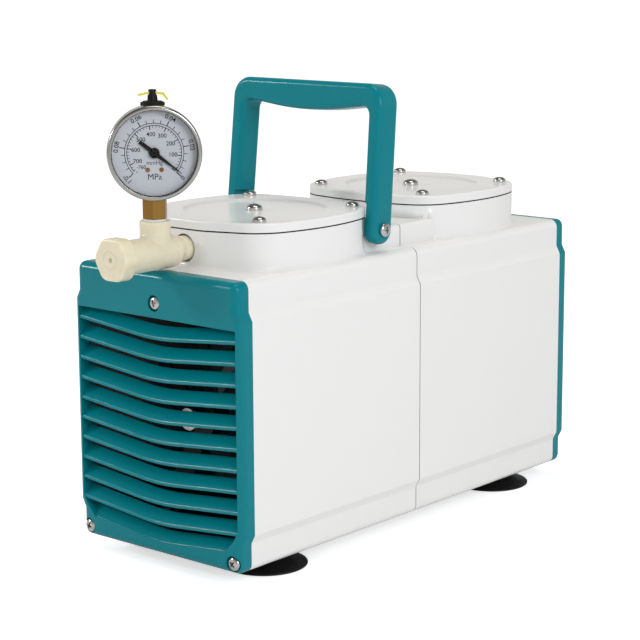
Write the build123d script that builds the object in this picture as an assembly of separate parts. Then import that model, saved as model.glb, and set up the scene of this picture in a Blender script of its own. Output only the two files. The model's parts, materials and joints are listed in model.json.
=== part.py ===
from build123d import *
import os
from math import cos, radians, sin

# Diaphragm vacuum pump with two heads. Millimetres, Z up. The origin is on the floor under the
# middle of the body: X runs along the motor shaft, with the seam of the two castings at X = 0.
# A shape is built once for the right half, with u = X from the seam and v = Y, and turned half a
# turn about Z for the left half.

# Body castings
foot_height = 9.0
body_height = 165.0
casting_length = 150.0
half_width_low = 63.4
half_width_mid = 66.1
step_low = 16.8
step_high = 143.0
step_rise = 5.0
body_corner_r = 5.0
wall = 4.0
seam_chamfer = 0.5
floor_z = foot_height + wall
body_top = foot_height + body_height
ceiling_z = body_top - wall
inner_half_width = half_width_low - wall

# Heads, plan outline about each head's own centre
head_x = casting_length / 2
tower_top = 195.0
head_corner = 48.5
head_side = 58.5
head_inner = 55.5
head_port_flat = 59.5
head_port_half = 14.0
head_corner_r = 26.0
crank_bore_r = 38.0
crank_bore_z = 156.0
seat_z = 175.5
seat_r = 48.0
plate_play = 0.2
tower_fillet = 2.5

# Diaphragm, valve plate and cover
diaphragm_t = 2.0
gasket_t = 0.8
cover_t = 5.2
cover_recess_r = 43.0
cover_recess_t = 1.2
cover_edge_r = 1.2
chamber_r = 12.0
chamber_x = 22.0
chamber_floor = 3.5
flap_r = 9.0
flap_t = 0.8
flap_recess_t = 1.2
cover_bottom = tower_top + gasket_t
cover_top = cover_bottom + cover_t
plate_bottom = seat_z + diaphragm_t

# Head screws, pan heads with a cross recess
head_screw_xy = 41.0
m4_r = 2.0
m4_head_r = 4.0
m4_head_h = 3.1
m5_r = 2.5
m5_head_r = 4.9
m5_head_h = 3.7
hole_clearance = 0.25

# Ports
port_z = 184.5
port_hole_r = 8.2
port_thread_r = 6.5
port_thread_l = 12.0
duct_r = 3.6
duct_z = 182.5
duct_bore_r = 2.6

# Boss between the heads and the handle pivots
boss_half_u = 40.0
boss_half_v = 50.2
boss_top = 187.0
pivot_x = -28.0
pivot_z = 188.0
pad_face = 49.9
pad_r = 9.0
washer_t = 0.6
washer_r = 8.0
leg_relief_r = 11.5

# Handle
handle_lean = 5.5
leg_t = 9.4
leg_w = 18.0
leg_splay = 1.2
handle_h = 85.0
bar_t = 13.0
grip_drop = 4.6
grip_flat_half = 14.0
handle_outer_r = 9.0
handle_inner_r = 5.0
handle_edge = 1.6
rim_notch_t = 2.4
rim_notch_r0 = 6.9
rim_notch_r1 = 16.5

# Motor and crank train
shaft_z = 84.0
shaft_r = 7.5
shaft_half = casting_length - 16.0
shaft_play = 0.03
stator_r = 54.0
stator_half = 30.0
rotor_r = 29.6
air_gap = 0.4
winding_out = 41.0
bearing_r = 17.5
bearing_w = 11.0
bearing_u = 44.0
web_u0 = 44.0
web_u1 = 52.0
stator_web_u0 = 12.0
stator_web_u1 = 20.0
stroke = 6.0
ecc_r = 12.5
ecc_half = 6.0
weight_t = 7.0
weight_r = 30.0
weight_gap = 0.5
crank_bearing_r = 21.0
crank_bearing_w = 9.0
big_end_r = 27.0
rod_t = 10.0
rod_w = 16.0
clamp_disc_r = 27.0
clamp_disc_t = 5.0
clamp_head_t = 1.8
clamp_gap = 1.0

# Fans
fan_u = shaft_half - 15.0
fan_w = 12.0
fan_hub_r = 13.0
fan_r = 46.0
fan_blades = 7
blade_t = 1.8
blade_pitch_deg = 38.0

# Grille covers
grille_t = 10.0
grille_edge_r = 5.0
grille_rim = 4.0
window_top = 147.7
window_sill = 22.3
window_step_z = 29.0
louvre_count = 10
louvre_pitch = 12.05
louvre_first = 31.6
louvre_droop = 6.0
louvre_t = 2.2
louvre_front = 2.0
louvre_depth = 7.6
louvre_rise = 5.2
louvre_bend_r = 180.0
grille_screw_top_z = 156.0
grille_screw_low_y = half_width_low - 5.5
grille_screw_low_z = 15.0
counterbore_r = 4.7
counterbore_depth = 2.6
grille_screw_l = 16.0
screw_boss_r = 6.5

# Feet
foot_x = casting_length - 38.0
foot_y = 39.0
foot_rim_r = 25.0
foot_neck_r = 10.0
foot_rim_t = 1.4
foot_cup_r = 21.0
foot_cup_h = 2.6
foot_boss_top = 19.0

# Inlet tee, its cap and the gauge stem
tee_x = -casting_length - 7.3
tee_run_r = 9.6
tee_tube_r = 7.1
tee_run_end = tee_x - 24.7
tee_neck_x = tee_x + 12.3
tee_neck_l = 5.0
tee_bore_r = 4.0
tee_branch_r = 8.8
tee_branch_top = 203.0
cap_af = 23.5
cap_len = 10.0
cap_gap = 0.4
spigot_r = 7.0
spigot_len = 6.0
spigot_play = 0.05
seal_t = 1.0
stem_af = 12.6
stem_bore_r = 2.0
stem_thread_r = 4.9
stem_thread_l = 9.0

# Gauge, turned to face out over the grille
gauge_az = -42.0
gauge_z = 241.5
gauge_r = 26.2
gauge_case_r = 25.2
gauge_back = -12.0
gauge_front = 14.0
gauge_wall = 1.6
bezel_lip = 2.4
bezel_back = 8.0
dial_r = 23.6
dial_t = 0.8
dial_at = 7.6
lens_t = 1.6
lens_at = 11.6
needle_start_deg = -38.0
needle_tip = 19.0
needle_tail = 9.5
needle_t = 0.5
needle_at = 9.4
tab_lift = 4.4
tab_half = 1.6

# Outlet on the right head, switch and cable gland on the far side
outlet_nozzle_r = 4.5
outlet_len = 30.0
outlet_bore_r = 3.0
barb_count = 3
barb_pitch = 3.4
barb_depth = 0.7
switch_x = casting_length - 49.0
switch_z = 62.0
switch_w = 21.0
switch_h = 15.0
switch_depth = 13.0
switch_flange = 1.8
gland_x = casting_length - 22.0
gland_z = 40.0
gland_r = 8.0
gland_bore_r = 3.2
gland_room_r = 4.4
cap_x = head_x - 17.0
capacitor_r = 17.0
capacitor_l = 44.0
capacitor_y = -34.0


def box(x0, x1, y0, y1, z0, z1):
    return Pos((x0 + x1) / 2, (y0 + y1) / 2, (z0 + z1) / 2) * Box(x1 - x0, y1 - y0, z1 - z0)


def rodX(x0, x1, y, z, r):
    return Pos((x0 + x1) / 2, y, z) * Rot(0, 90, 0) * Cylinder(r, x1 - x0)


def rodY(x, y0, y1, z, r):
    return Pos(x, (y0 + y1) / 2, z) * Rot(90, 0, 0) * Cylinder(r, y1 - y0)


def rodZ(x, y, z0, z1, r):
    return Pos(x, y, (z0 + z1) / 2) * Cylinder(r, z1 - z0)


def turned(points):
    """Solid of revolution about Z from points (radius, height)."""
    outline = make_face(Polyline(*[(r, 0, z) for r, z in points], close=True))
    return revolve(outline, Axis.Z, 360)


def plateX(points, x0, x1):
    """Prism along X from points (y, z)."""
    outline = make_face(Polyline(*[(x0, y, z) for y, z in points], close=True))
    return extrude(outline, amount=x1 - x0, dir=(1, 0, 0))


def side(shape, name):
    return shape if name == "right" else Rot(0, 0, 180) * shape


def solidOf(shape):
    """The one largest solid, for a cut that may leave slivers."""
    return shape.solids().sort_by(SortBy.VOLUME)[-1]


def panScrew(head_r, head_h, shank_r, shank_l):
    """Pan-head screw with a cross recess, head on Z = 0 pointing up."""
    head = turned([(0, 0), (head_r, 0), (head_r, head_h * 0.35), (head_r * 0.86, head_h * 0.72),
                   (head_r * 0.5, head_h * 0.95), (0, head_h)])
    shank = rodZ(0, 0, -shank_l, 0.2, shank_r)
    slot = box(-head_r * 0.5, head_r * 0.5, -head_r * 0.1, head_r * 0.1, head_h * 0.45, head_h + 1)
    return head + shank - slot - Rot(0, 0, 90) * slot


def bodySection():
    """Half outline of the body section as (v, z), from the bottom middle to the top middle."""
    low = foot_height + step_low
    high = foot_height + step_high
    right = [(half_width_low, foot_height), (half_width_low, low), (half_width_mid, low + step_rise),
             (half_width_mid, high), (half_width_low, high + step_rise), (half_width_low, body_top)]
    return right + [(-y, z) for y, z in reversed(right)]


def bodyPrism(u0, u1):
    prism = plateX(bodySection(), u0, u1)
    long_edges = prism.edges().filter_by(Axis.X)
    corners = [e for e in long_edges
               if abs(e.center().Z - foot_height) < 0.1 or abs(e.center().Z - body_top) < 0.1]
    prism = fillet(corners, body_corner_r)
    bends = [e for e in prism.edges().filter_by(Axis.X)
             if foot_height + step_low - 1 < e.center().Z < foot_height + step_high + step_rise + 1]
    return fillet(bends, 3.0)


def headOutline():
    """Closed plan outline of a head about its own centre, port side towards +X."""
    c = head_corner
    lines = [ThreePointArc((-c, -c), (0, -head_side), (c, -c)),
             Line((c, -c), (head_port_flat, -head_port_half)),
             Line((head_port_flat, -head_port_half), (head_port_flat, head_port_half)),
             Line((head_port_flat, head_port_half), (c, c)),
             ThreePointArc((c, c), (0, head_side), (-c, c)),
             ThreePointArc((-c, c), (-head_inner, 0), (-c, -c))]
    face = make_face(lines)
    return fillet(face.vertices(), head_corner_r)


def headPrism(z0, z1):
    return Pos(head_x, 0, z0) * extrude(headOutline(), amount=z1 - z0)


def screwSpots():
    s = head_screw_xy
    return [(head_x + a * s, b * s) for a in (-1, 1) for b in (-1, 1)]


def grilleScrewSpots():
    return [(0, grille_screw_top_z), (grille_screw_low_y, grille_screw_low_z),
            (-grille_screw_low_y, grille_screw_low_z)]


def housing(name):
    outer = bodyPrism(0, casting_length)
    seam_edges = outer.faces().sort_by(Axis.X)[0].edges()
    outer = chamfer(seam_edges, seam_chamfer)
    body = outer + headPrism(ceiling_z, tower_top)
    blend = [e for e in body.edges()
             if abs(e.center().Z - body_top) < 0.01 and e.bounding_box().size.Z < 0.01
             and abs(e.center().Y) < half_width_low - body_corner_r + 1.0
             and 15 < e.center().X < casting_length - 10]
    body = fillet(blend, tower_fillet)
    boss = box(0, boss_half_u, -boss_half_v, boss_half_v, ceiling_z, boss_top)
    rim = [e for e in boss.edges().filter_by(Axis.X) if e.center().Z > boss_top - 1]
    body = body + fillet(rim, 2.0)
    if name == "left":
        pads = rodY(-pivot_x, -pad_face, pad_face, pivot_z, pad_r)
        pads = pads & box(0, 100, -pad_face, pad_face, body_top, tower_top - 0.3)
        body = body + (pads - box(0, 100, -30, 30, body_top, tower_top))
        relief = rodY(-pivot_x, pad_face, 70, pivot_z, leg_relief_r)
        relief = relief + box(-pivot_x - leg_relief_r, -pivot_x + leg_relief_r, pad_face, 70,
                              pivot_z, tower_top + 1)
        body = body - relief - mirror(relief, Plane.XZ)
    cavity = box(-1, casting_length + 1, -inner_half_width, inner_half_width, floor_z, ceiling_z)
    keep = box(web_u0, web_u1, -inner_half_width, inner_half_width, floor_z, ceiling_z)
    keep = keep + rodX(web_u0 - 2, bearing_u + bearing_w + 1, 0, shaft_z, bearing_r + 5)
    stator_web = box(stator_web_u0, stator_web_u1, -inner_half_width, inner_half_width,
                     floor_z, ceiling_z)
    stator_web = stator_web - rodX(stator_web_u0 - 1, stator_web_u1 + 1, 0, shaft_z, stator_r + 0.05)
    for k in range(6):
        angle = radians(30 + 60 * k)
        y = 38 * cos(angle)
        z = shaft_z + 38 * sin(angle)
        keep = keep - rodX(web_u0 - 5, web_u1 + 5, y, z, 8.5)
    upper_vent = box(stator_web_u0 - 1, stator_web_u1 + 1, -40, 40, 146, 162)
    cavity = cavity - keep - (stator_web - upper_vent)
    for y, z in grilleScrewSpots():
        cavity = cavity - rodX(casting_length - 18, casting_length + 2, y, z, screw_boss_r)
    top_rib = box(casting_length - 18, casting_length + 2, -3, 3, grille_screw_top_z, ceiling_z + 1)
    cavity = cavity - top_rib
    for y in (-foot_y, foot_y):
        cavity = cavity - rodZ(foot_x, y, floor_z - 1, foot_boss_top, 8.5)
    body = body - cavity
    body = body - rodX(web_u0 - 3, bearing_u + 1, 0, shaft_z, shaft_r + 2)
    body = body - rodX(bearing_u, bearing_u + bearing_w + 2, 0, shaft_z, bearing_r)
    body = body - rodZ(head_x, 0, crank_bore_z, seat_z + 1, crank_bore_r)
    body = body - rodZ(head_x, 0, seat_z, tower_top + 1, seat_r)
    body = body - rodX(head_x + seat_r - 8, head_x + head_port_flat + 2, 0, port_z, port_hole_r)
    body = body - rodX(-1, head_x - seat_r + 8, 0, duct_z, duct_r)
    for x, y in screwSpots():
        body = body - rodZ(x, y, tower_top - 14, tower_top + 1, m4_r)
    for y, z in grilleScrewSpots():
        body = body - rodX(casting_length - 14, casting_length + 1, y, z, m4_r)
    for y in (-foot_y, foot_y):
        body = body - rodZ(foot_x, y, foot_height - 1, foot_boss_top + 1, m5_r)
    if name == "left":
        for s in (-1, 1):
            body = body - rodY(-pivot_x, min(s * 34, s * 50), max(s * 34, s * 50), pivot_z, m5_r)
    else:
        body = body - box(switch_x - switch_w / 2, switch_x + switch_w / 2, 50, 70,
                          switch_z - switch_h / 2, switch_z + switch_h / 2)
        body = body - rodY(gland_x, 50, 70, gland_z, gland_r - 2)
    return side(solidOf(body), name)


def louvreBand(z_side, height):
    """Band in the (v, z) plane that droops to the middle, at x = 0."""
    h = half_width_mid - grille_rim / 2
    low = [(-h, z_side), (0, z_side - louvre_droop * h / (half_width_mid - grille_rim)), (h, z_side)]
    lower = FilletPolyline(*[(0, y, z) for y, z in low], radius=louvre_bend_r)
    upper = Pos(0, 0, height) * lower
    ends = [Line((0, -h, z_side), (0, -h, z_side + height)), Line((0, h, z_side), (0, h, z_side + height))]
    return make_face(lower.edges() + upper.edges() + ends)


def windowPrism(u0, u1):
    """Opening of the grille, with a drooping sill and the body's lower step."""
    wide = half_width_mid - grille_rim
    low = half_width_low - grille_rim
    step = window_step_z
    sill_mid = window_sill - louvre_droop
    arc = FilletPolyline((u0, -low, window_sill), (u0, 0, sill_mid), (u0, low, window_sill),
                         radius=louvre_bend_r)
    right = [(low, window_sill), (low, step), (wide, step + step_rise), (wide, window_top)]
    left = [(-y, z) for y, z in reversed(right)]
    outline = right + left
    lines = [Line((u0, outline[i][0], outline[i][1]), (u0, outline[i + 1][0], outline[i + 1][1]))
             for i in range(len(outline) - 1)]
    face = make_face(arc.edges() + lines)
    return extrude(face, amount=u1 - u0, dir=(1, 0, 0))


def grilleCover(name):
    u0 = casting_length
    u1 = casting_length + grille_t
    shell = bodyPrism(u0, u1)
    outer_edges = shell.faces().sort_by(Axis.X)[-1].edges()
    shell = fillet(outer_edges, grille_edge_r)
    cover = shell - windowPrism(u0 - 1, u1 + 1)
    relief = box(u0 - 1, u1 - 3, -50, 50, window_top + 3.5, body_top - 5)
    relief = relief - rodX(u0 - 2, u1, 0, grille_screw_top_z, screw_boss_r + 1.5)
    cover = cover - relief
    frame = windowPrism(u0, u1) + windowRim(u0, u1)
    for k in range(louvre_count):
        z = louvre_first + louvre_pitch * k
        band = Pos(u1 - louvre_front, 0, 0) * louvreBand(z, louvre_t)
        lip = extrude(band, amount=louvre_front - 0.6, dir=(1, 0, 0))
        slope = Vector(-louvre_depth + louvre_front, 0, louvre_rise)
        blade = extrude(band, amount=slope.length, dir=slope)
        cover = cover + ((lip + blade) & frame)
    slope = Vector(-louvre_depth + louvre_front, 0, louvre_rise)
    sill = Pos(u1 - louvre_front, 0, 0) * louvreBand(window_sill - louvre_t, louvre_t)
    cover = cover + (extrude(sill, amount=slope.length, dir=slope) & frame)
    for y, z in grilleScrewSpots():
        cover = cover - rodX(u0 - 1, u1 + 1, y, z, m4_r + hole_clearance)
        cover = cover - rodX(u1 - counterbore_depth, u1 + 1, y, z, counterbore_r)
    return side(cover, name)


def windowRim(u0, u1):
    """Thin band round the window that louvre ends may run into."""
    return box(u0, u1 - 1.5, -half_width_mid + 2, half_width_mid - 2, window_sill + 8, window_top + 2)


def grilleScrews():
    screws = []
    u = casting_length + grille_t - counterbore_depth
    for name in ("left", "right"):
        for y, z in grilleScrewSpots():
            screw = panScrew(m4_head_r, m4_head_h, m4_r, grille_screw_l)
            screws.append(side(Pos(u, y, z) * Rot(0, 90, 0) * screw, name))
    return Compound(children=screws)


def headCover(name):
    cover = headPrism(cover_bottom, cover_top)
    rim = cover.faces().sort_by(Axis.Z)[-1].edges()
    cover = fillet(rim, cover_edge_r)
    recess = turned([(0, cover_top - cover_recess_t), (cover_recess_r - 1.6, cover_top - cover_recess_t),
                     (cover_recess_r, cover_top), (cover_recess_r, cover_top + 1), (0, cover_top + 1)])
    cover = cover - Pos(head_x, 0, 0) * recess
    cover = cover - rodZ(head_x, 0, cover_bottom - 1, cover_top + 1, m5_r + hole_clearance)
    for x, y in screwSpots():
        cover = cover - rodZ(x, y, cover_bottom - 1, cover_top + 1, m4_r + hole_clearance)
    return side(cover, name)


def chamberSpots():
    return [head_x - chamber_x, head_x + chamber_x]


def headGasket(name):
    gasket = headPrism(tower_top, cover_bottom)
    for x in chamberSpots():
        gasket = gasket - rodZ(x, 0, tower_top - 1, cover_bottom + 1, chamber_r - 0.5)
    gasket = gasket - rodZ(head_x, 0, tower_top - 1, cover_bottom + 1, m5_r + hole_clearance)
    for x, y in screwSpots():
        gasket = gasket - rodZ(x, y, tower_top - 1, cover_bottom + 1, m4_r + hole_clearance)
    return side(gasket, name)


def headScrews():
    screws = []
    for name in ("left", "right"):
        for x, y in screwSpots():
            screw = panScrew(m4_head_r, m4_head_h, m4_r, 16.0)
            screws.append(side(Pos(x, y, cover_top) * Rot(0, 0, 25) * screw, name))
    return Compound(children=screws)


def centreScrews():
    screws = []
    for name in ("left", "right"):
        screw = panScrew(m5_head_r, m5_head_h, m5_r, 13.0)
        screws.append(side(Pos(head_x, 0, cover_top - cover_recess_t) * screw, name))
    return Compound(children=screws)


def valvePlate(name):
    r = seat_r - plate_play
    plate = rodZ(head_x, 0, plate_bottom, tower_top, r)
    floor = plate_bottom + chamber_floor
    for x in chamberSpots():
        plate = plate - rodZ(x, 0, floor, tower_top + 1, chamber_r)
        for k in range(4):
            a = radians(45 + 90 * k)
            plate = plate - rodZ(x + 5 * cos(a), 5 * sin(a), plate_bottom - 1, floor + 1, 2.0)
    inlet = head_x + (chamber_x if name == "left" else -chamber_x)
    plate = plate - rodZ(inlet, 0, plate_bottom - 1, plate_bottom + flap_recess_t, flap_r + 0.6)
    plate = plate - rodX(head_x + r - port_thread_l, head_x + r + 1, 0, port_z, port_thread_r)
    plate = plate - rodX(head_x + chamber_x, head_x + r, 0, port_z, tee_bore_r)
    plate = plate - rodX(head_x - r - 1, head_x - chamber_x, 0, duct_z, duct_bore_r)
    plate = plate - rodZ(head_x, 0, tower_top - 9, tower_top + 1, m5_r)
    return side(plate, name)


def valveFlaps(name):
    inlet = head_x + (chamber_x if name == "left" else -chamber_x)
    outlet = head_x - (chamber_x if name == "left" else -chamber_x)
    floor = plate_bottom + chamber_floor
    top = plate_bottom + flap_recess_t
    low = rodZ(inlet, 0, top - flap_t, top, flap_r)
    high = rodZ(outlet, 0, floor, floor + flap_t, flap_r)
    return side(Compound(children=[low, high]), name)


def crankLift(name):
    """Height of the rod above its middle at rest: the left crank is up, the right one down."""
    return stroke / 2 if name == "left" else -stroke / 2


def diaphragm(name):
    """Moulded rubber disc: a flat clamped rim, a sloping annulus and a flat middle on the rod."""
    mid = middleZ(name)
    rim_in = crank_bore_r - 1.0
    rim_out = seat_r - plate_play
    disc = clamp_disc_r - 2.0
    z0 = seat_z
    t = diaphragm_t
    sheet = turned([(m5_r, mid), (disc, mid), (rim_in, z0), (rim_out, z0), (rim_out, z0 + t),
                    (rim_in, z0 + t), (disc, mid + t), (m5_r, mid + t)])
    return side(Pos(head_x, 0, 0) * sheet, name)


def middleZ(name):
    """Underside of the diaphragm's middle, which stays below the valve plate at full lift."""
    return seat_z - clamp_head_t - clamp_gap - stroke / 2 + crankLift(name)


def clampDisc(name):
    z = middleZ(name)
    disc = turned([(m5_r, z - clamp_disc_t), (clamp_disc_r - 6, z - clamp_disc_t),
                   (clamp_disc_r - 2.5, z - 1.5), (clamp_disc_r - 3.0, z), (m5_r, z)])
    return side(Pos(head_x, 0, 0) * disc, name)


def clampScrew(name):
    """Low countersunk clamp screw with its broad head on top of the diaphragm."""
    z = middleZ(name) + diaphragm_t
    head = turned([(0, z), (18, z), (17, z + clamp_head_t - 0.6), (14, z + clamp_head_t),
                   (4, z + clamp_head_t), (4, z + 0.6), (0, z + 0.6)])
    shank = rodZ(0, 0, z - diaphragm_t - clamp_disc_t - 14, z + 0.5, m5_r)
    return side(Pos(head_x, 0, 0) * (head + shank), name)


def conrod(name):
    lift = crankLift(name)
    pin_z = shaft_z + lift
    top = middleZ(name) - clamp_disc_t
    ring = rodX(-rod_t / 2, rod_t / 2, 0, pin_z, big_end_r)
    shank = box(-rod_t / 2, rod_t / 2, -rod_w / 2, rod_w / 2, pin_z + 20, top - 6)
    edges = shank.edges().filter_by(Axis.Z)
    shank = fillet(edges, 3.0)
    flange = turned([(0, top - 12), (6.5, top - 12), (13, top - 4), (13, top), (0, top)])
    rod = ring + shank + flange
    rod = rod - rodX(-rod_t, rod_t, 0, pin_z, crank_bearing_r)
    for s in (-1, 1):
        web = box(s * 4 - 2.6, s * 4 + 2.6, -4.5, 4.5, pin_z + 32, top - 16)
        rod = rod - Pos(s * 1.6, 0, 0) * fillet(web.edges().filter_by(Axis.X), 4.0)
    rod = rod - rodZ(0, 0, top - 15, top + 1, m5_r)
    return side(Pos(head_x, 0, 0) * rod, name)


def crankBearing(name):
    pin_z = shaft_z + crankLift(name)
    w = crank_bearing_w / 2
    ring = rodX(-w, w, 0, pin_z, crank_bearing_r) - rodX(-w - 1, w + 1, 0, pin_z, ecc_r + shaft_play)
    for x in (-w, w - 0.8):
        groove = rodX(x, x + 0.8, 0, pin_z, 18.5) - rodX(x - 1, x + 2, 0, pin_z, 15.5)
        ring = ring - groove
    return side(Pos(head_x, 0, 0) * ring, name)


def eccentric(name):
    lift = crankLift(name)
    disc = rodX(-ecc_half, ecc_half, 0, shaft_z + lift, ecc_r)
    u1 = -rod_t / 2 - weight_gap
    u0 = u1 - weight_t
    weight = rodX(u0, u1, 0, shaft_z, weight_r)
    down = -1 if lift > 0 else 1
    half = box(u0 - 1, u1 + 1, -40, 40, shaft_z + down * 4 if down > 0 else shaft_z - 40,
               shaft_z + 40 if down > 0 else shaft_z + down * 4)
    weight = (weight & half) + rodX(u0, u1, 0, shaft_z, ecc_r + 2)
    bridge = rodX(u1 - 1, ecc_half, 0, shaft_z + lift, ecc_r)
    part = disc + weight + bridge - rodX(-30, 30, 0, shaft_z, shaft_r)
    return side(Pos(head_x, 0, 0) * part, name)


def motorShaft():
    shaft = rodX(-shaft_half, shaft_half, 0, shaft_z, shaft_r)
    ends = [e for e in shaft.edges() if abs(abs(e.center().X) - shaft_half) < 0.1]
    return chamfer(ends, 1.0)


def rotorCore():
    core = rodX(-stator_half, stator_half, 0, shaft_z, rotor_r)
    for s in (-1, 1):
        x0 = s * stator_half
        ring = rodX(min(x0, x0 + s * 6), max(x0, x0 + s * 6), 0, shaft_z, rotor_r - 3)
        ring = ring - rodX(-60, 60, 0, shaft_z, 20)
        core = core + ring
    return core - rodX(-60, 60, 0, shaft_z, shaft_r)


def statorCore():
    core = rodX(-stator_half, stator_half, 0, shaft_z, stator_r)
    core = core - rodX(-60, 60, 0, shaft_z, rotor_r + air_gap)
    for k in range(12):
        slot = box(-60, 60, -2.5, 2.5, shaft_z + 31.5, shaft_z + 44)
        core = core - Pos(0, 0, shaft_z) * Rot(30 * k, 0, 0) * Pos(0, 0, -shaft_z) * slot
    return core


def statorWinding(name):
    ring = Pos(stator_half, 0, shaft_z) * Rot(0, 90, 0) * turned(
        [(33, 0), (46, 0), (48, 2), (48, 8), (45, winding_out - stator_half), (36, winding_out - stator_half),
         (33, 8)])
    return side(ring, name)


def shaftBearing(name):
    ring = rodX(bearing_u, bearing_u + bearing_w, 0, shaft_z, bearing_r)
    ring = ring - rodX(bearing_u - 1, bearing_u + bearing_w + 1, 0, shaft_z, shaft_r + shaft_play)
    for u in (bearing_u, bearing_u + bearing_w - 0.8):
        groove = rodX(u, u + 0.8, 0, shaft_z, 14.5) - rodX(u - 1, u + 2, 0, shaft_z, 10.5)
        ring = ring - groove
    return side(ring, name)


def fan(name):
    part = rodX(fan_u - fan_w / 2, fan_u + fan_w / 2, 0, shaft_z, fan_hub_r)
    for k in range(fan_blades):
        sections = []
        for r, twist, width in ((fan_hub_r - 2, blade_pitch_deg, 13.0), (30.0, 28.0, 17.0),
                                (fan_r, 20.0, 20.0)):
            sections.append(Pos(0, 0, r) * Rot(0, 0, 90 - twist) * Rectangle(width * 0.62, blade_t))
        blade = loft(sections)
        blade = Pos(fan_u, 0, shaft_z) * Rot(360 / fan_blades * k, 0, 0) * blade
        part = part + blade
    part = part & rodX(fan_u - fan_w, fan_u + fan_w, 0, shaft_z, fan_r)
    part = part - rodX(fan_u - 30, fan_u + 30, 0, shaft_z, shaft_r)
    return side(part, name)


def suctionFeet():
    cup = turned([(0, foot_cup_h), (foot_cup_r * 0.6, foot_cup_h * 0.7), (foot_cup_r, 0), (foot_rim_r - 0.4, 0),
                  (foot_rim_r, foot_rim_t * 0.5), (foot_rim_r - 1.2, foot_rim_t),
                  (19, 2.9), (14, 5.2), (foot_neck_r + 0.6, 7.0), (foot_neck_r, foot_height), (0, foot_height)])
    cup = cup - rodZ(0, 0, 4.5, foot_height + 1, m5_r)
    feet = [Pos(x, y, 0) * cup for x in (-foot_x, foot_x) for y in (-foot_y, foot_y)]
    return Compound(children=feet)


def footScrews():
    screw = Pos(0, 0, foot_boss_top) * panScrew(m5_head_r, m5_head_h, m5_r, foot_boss_top - 4.6)
    screws = [Pos(x, y, 0) * screw for x in (-foot_x, foot_x) for y in (-foot_y, foot_y)]
    return Compound(children=screws)


def handle():
    inner = pad_face + washer_t
    outer = inner + leg_t
    top_in = inner - leg_splay
    top_out = outer - leg_splay
    under = handle_h - bar_t
    contour = [(inner, 0), (outer, 0), (top_out, handle_h), (-top_out, handle_h), (-outer, 0), (-inner, 0),
               (-top_in, under), (-grip_flat_half, under - grip_drop), (grip_flat_half, under - grip_drop),
               (top_in, under)]
    face = make_face(Polyline(*[(0, y, z) for y, z in contour], close=True))
    arch = extrude(face, amount=leg_w / 2, dir=(1, 0, 0)) + extrude(face, amount=leg_w / 2, dir=(-1, 0, 0))
    tops = [e for e in arch.edges().filter_by(Axis.X) if e.center().Z > handle_h - 1]
    arch = fillet(tops, handle_outer_r)
    inners = [e for e in arch.edges().filter_by(Axis.X)
              if abs(e.center().Z - under) < 0.1 and abs(e.center().Y) > 40]
    arch = fillet(inners, handle_inner_r)
    long_edges = [e for e in arch.edges()
                  if abs(abs(e.center().X) - leg_w / 2) < 0.01 and e.center().Z > 0.01]
    arch = chamfer(long_edges, handle_edge)
    for s in (-1, 1):
        end = rodY(0, min(s * inner, s * outer), max(s * inner, s * outer), 0, leg_w / 2)
        end = chamfer([e for e in end.edges() if e.geom_type == GeomType.CIRCLE], handle_edge)
        arch = arch + (end & box(-20, 20, -80, 80, -20, 0.5))
    for s in (-1, 1):
        y0 = min(s * (inner - 1), s * (inner + rim_notch_t))
        y1 = max(s * (inner - 1), s * (inner + rim_notch_t))
        sector = rodY(0, y0, y1, 0, rim_notch_r1) - rodY(0, y0 - 1, y1 + 1, 0, rim_notch_r0)
        sector = sector & box(-20, 1.5, y0 - 1, y1 + 1, -3.0, 20)
        arch = arch - sector
        arch = arch - rodY(0, min(s * 40, s * 70), max(s * 40, s * 70), 0, m5_r + 0.06)
    return Pos(pivot_x, 0, pivot_z) * Rot(0, handle_lean, 0) * solidOf(arch)


def pivotScrews():
    screws = []
    face = pad_face + washer_t + leg_t
    for s in (-1, 1):
        screw = panScrew(m5_head_r - 0.3, m5_head_h * 0.8, m5_r, face - 36)
        screws.append(Pos(pivot_x, s * (face + 0.35), pivot_z) * Rot(-90 * s, 0, 0) * screw)
    return Compound(children=screws)


def pivotWashers():
    washers = []
    for s in (-1, 1):
        y0 = min(s * pad_face, s * (pad_face + washer_t - 0.1))
        y1 = max(s * pad_face, s * (pad_face + washer_t - 0.1))
        washers.append(rodY(pivot_x, y0, y1, pivot_z, 6.4) - rodY(pivot_x, y0 - 1, y1 + 1, pivot_z, m5_r))
    return Compound(children=washers)


def inletTee():
    end = -head_x - seat_r + plate_play + 10.5
    run = rodX(tee_run_end, tee_neck_x, 0, port_z, tee_run_r)
    tube = rodX(tee_neck_x - 1, -head_x - seat_r - 0.5, 0, port_z, tee_tube_r)
    thread = rodX(-head_x - seat_r - 1, end, 0, port_z, port_thread_r)
    taper = turned([(0, 0), (tee_run_r, 0), (tee_tube_r, tee_neck_l), (0, tee_neck_l)])
    neck = Pos(tee_neck_x, 0, port_z) * Rot(0, 90, 0) * taper
    branch = rodZ(tee_x, 0, port_z, tee_branch_top, tee_branch_r)
    tee = run + tube + neck + branch
    tee = tee + thread
    spigot = rodX(tee_run_end - spigot_len, tee_run_end + 1, 0, port_z, spigot_r)
    tee = tee + spigot
    tee = tee - rodX(tee_run_end - spigot_len - 1, end + 1, 0, port_z, tee_bore_r)
    tee = tee - rodZ(tee_x, 0, port_z, tee_branch_top + 1, stem_thread_r)
    return tee


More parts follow.
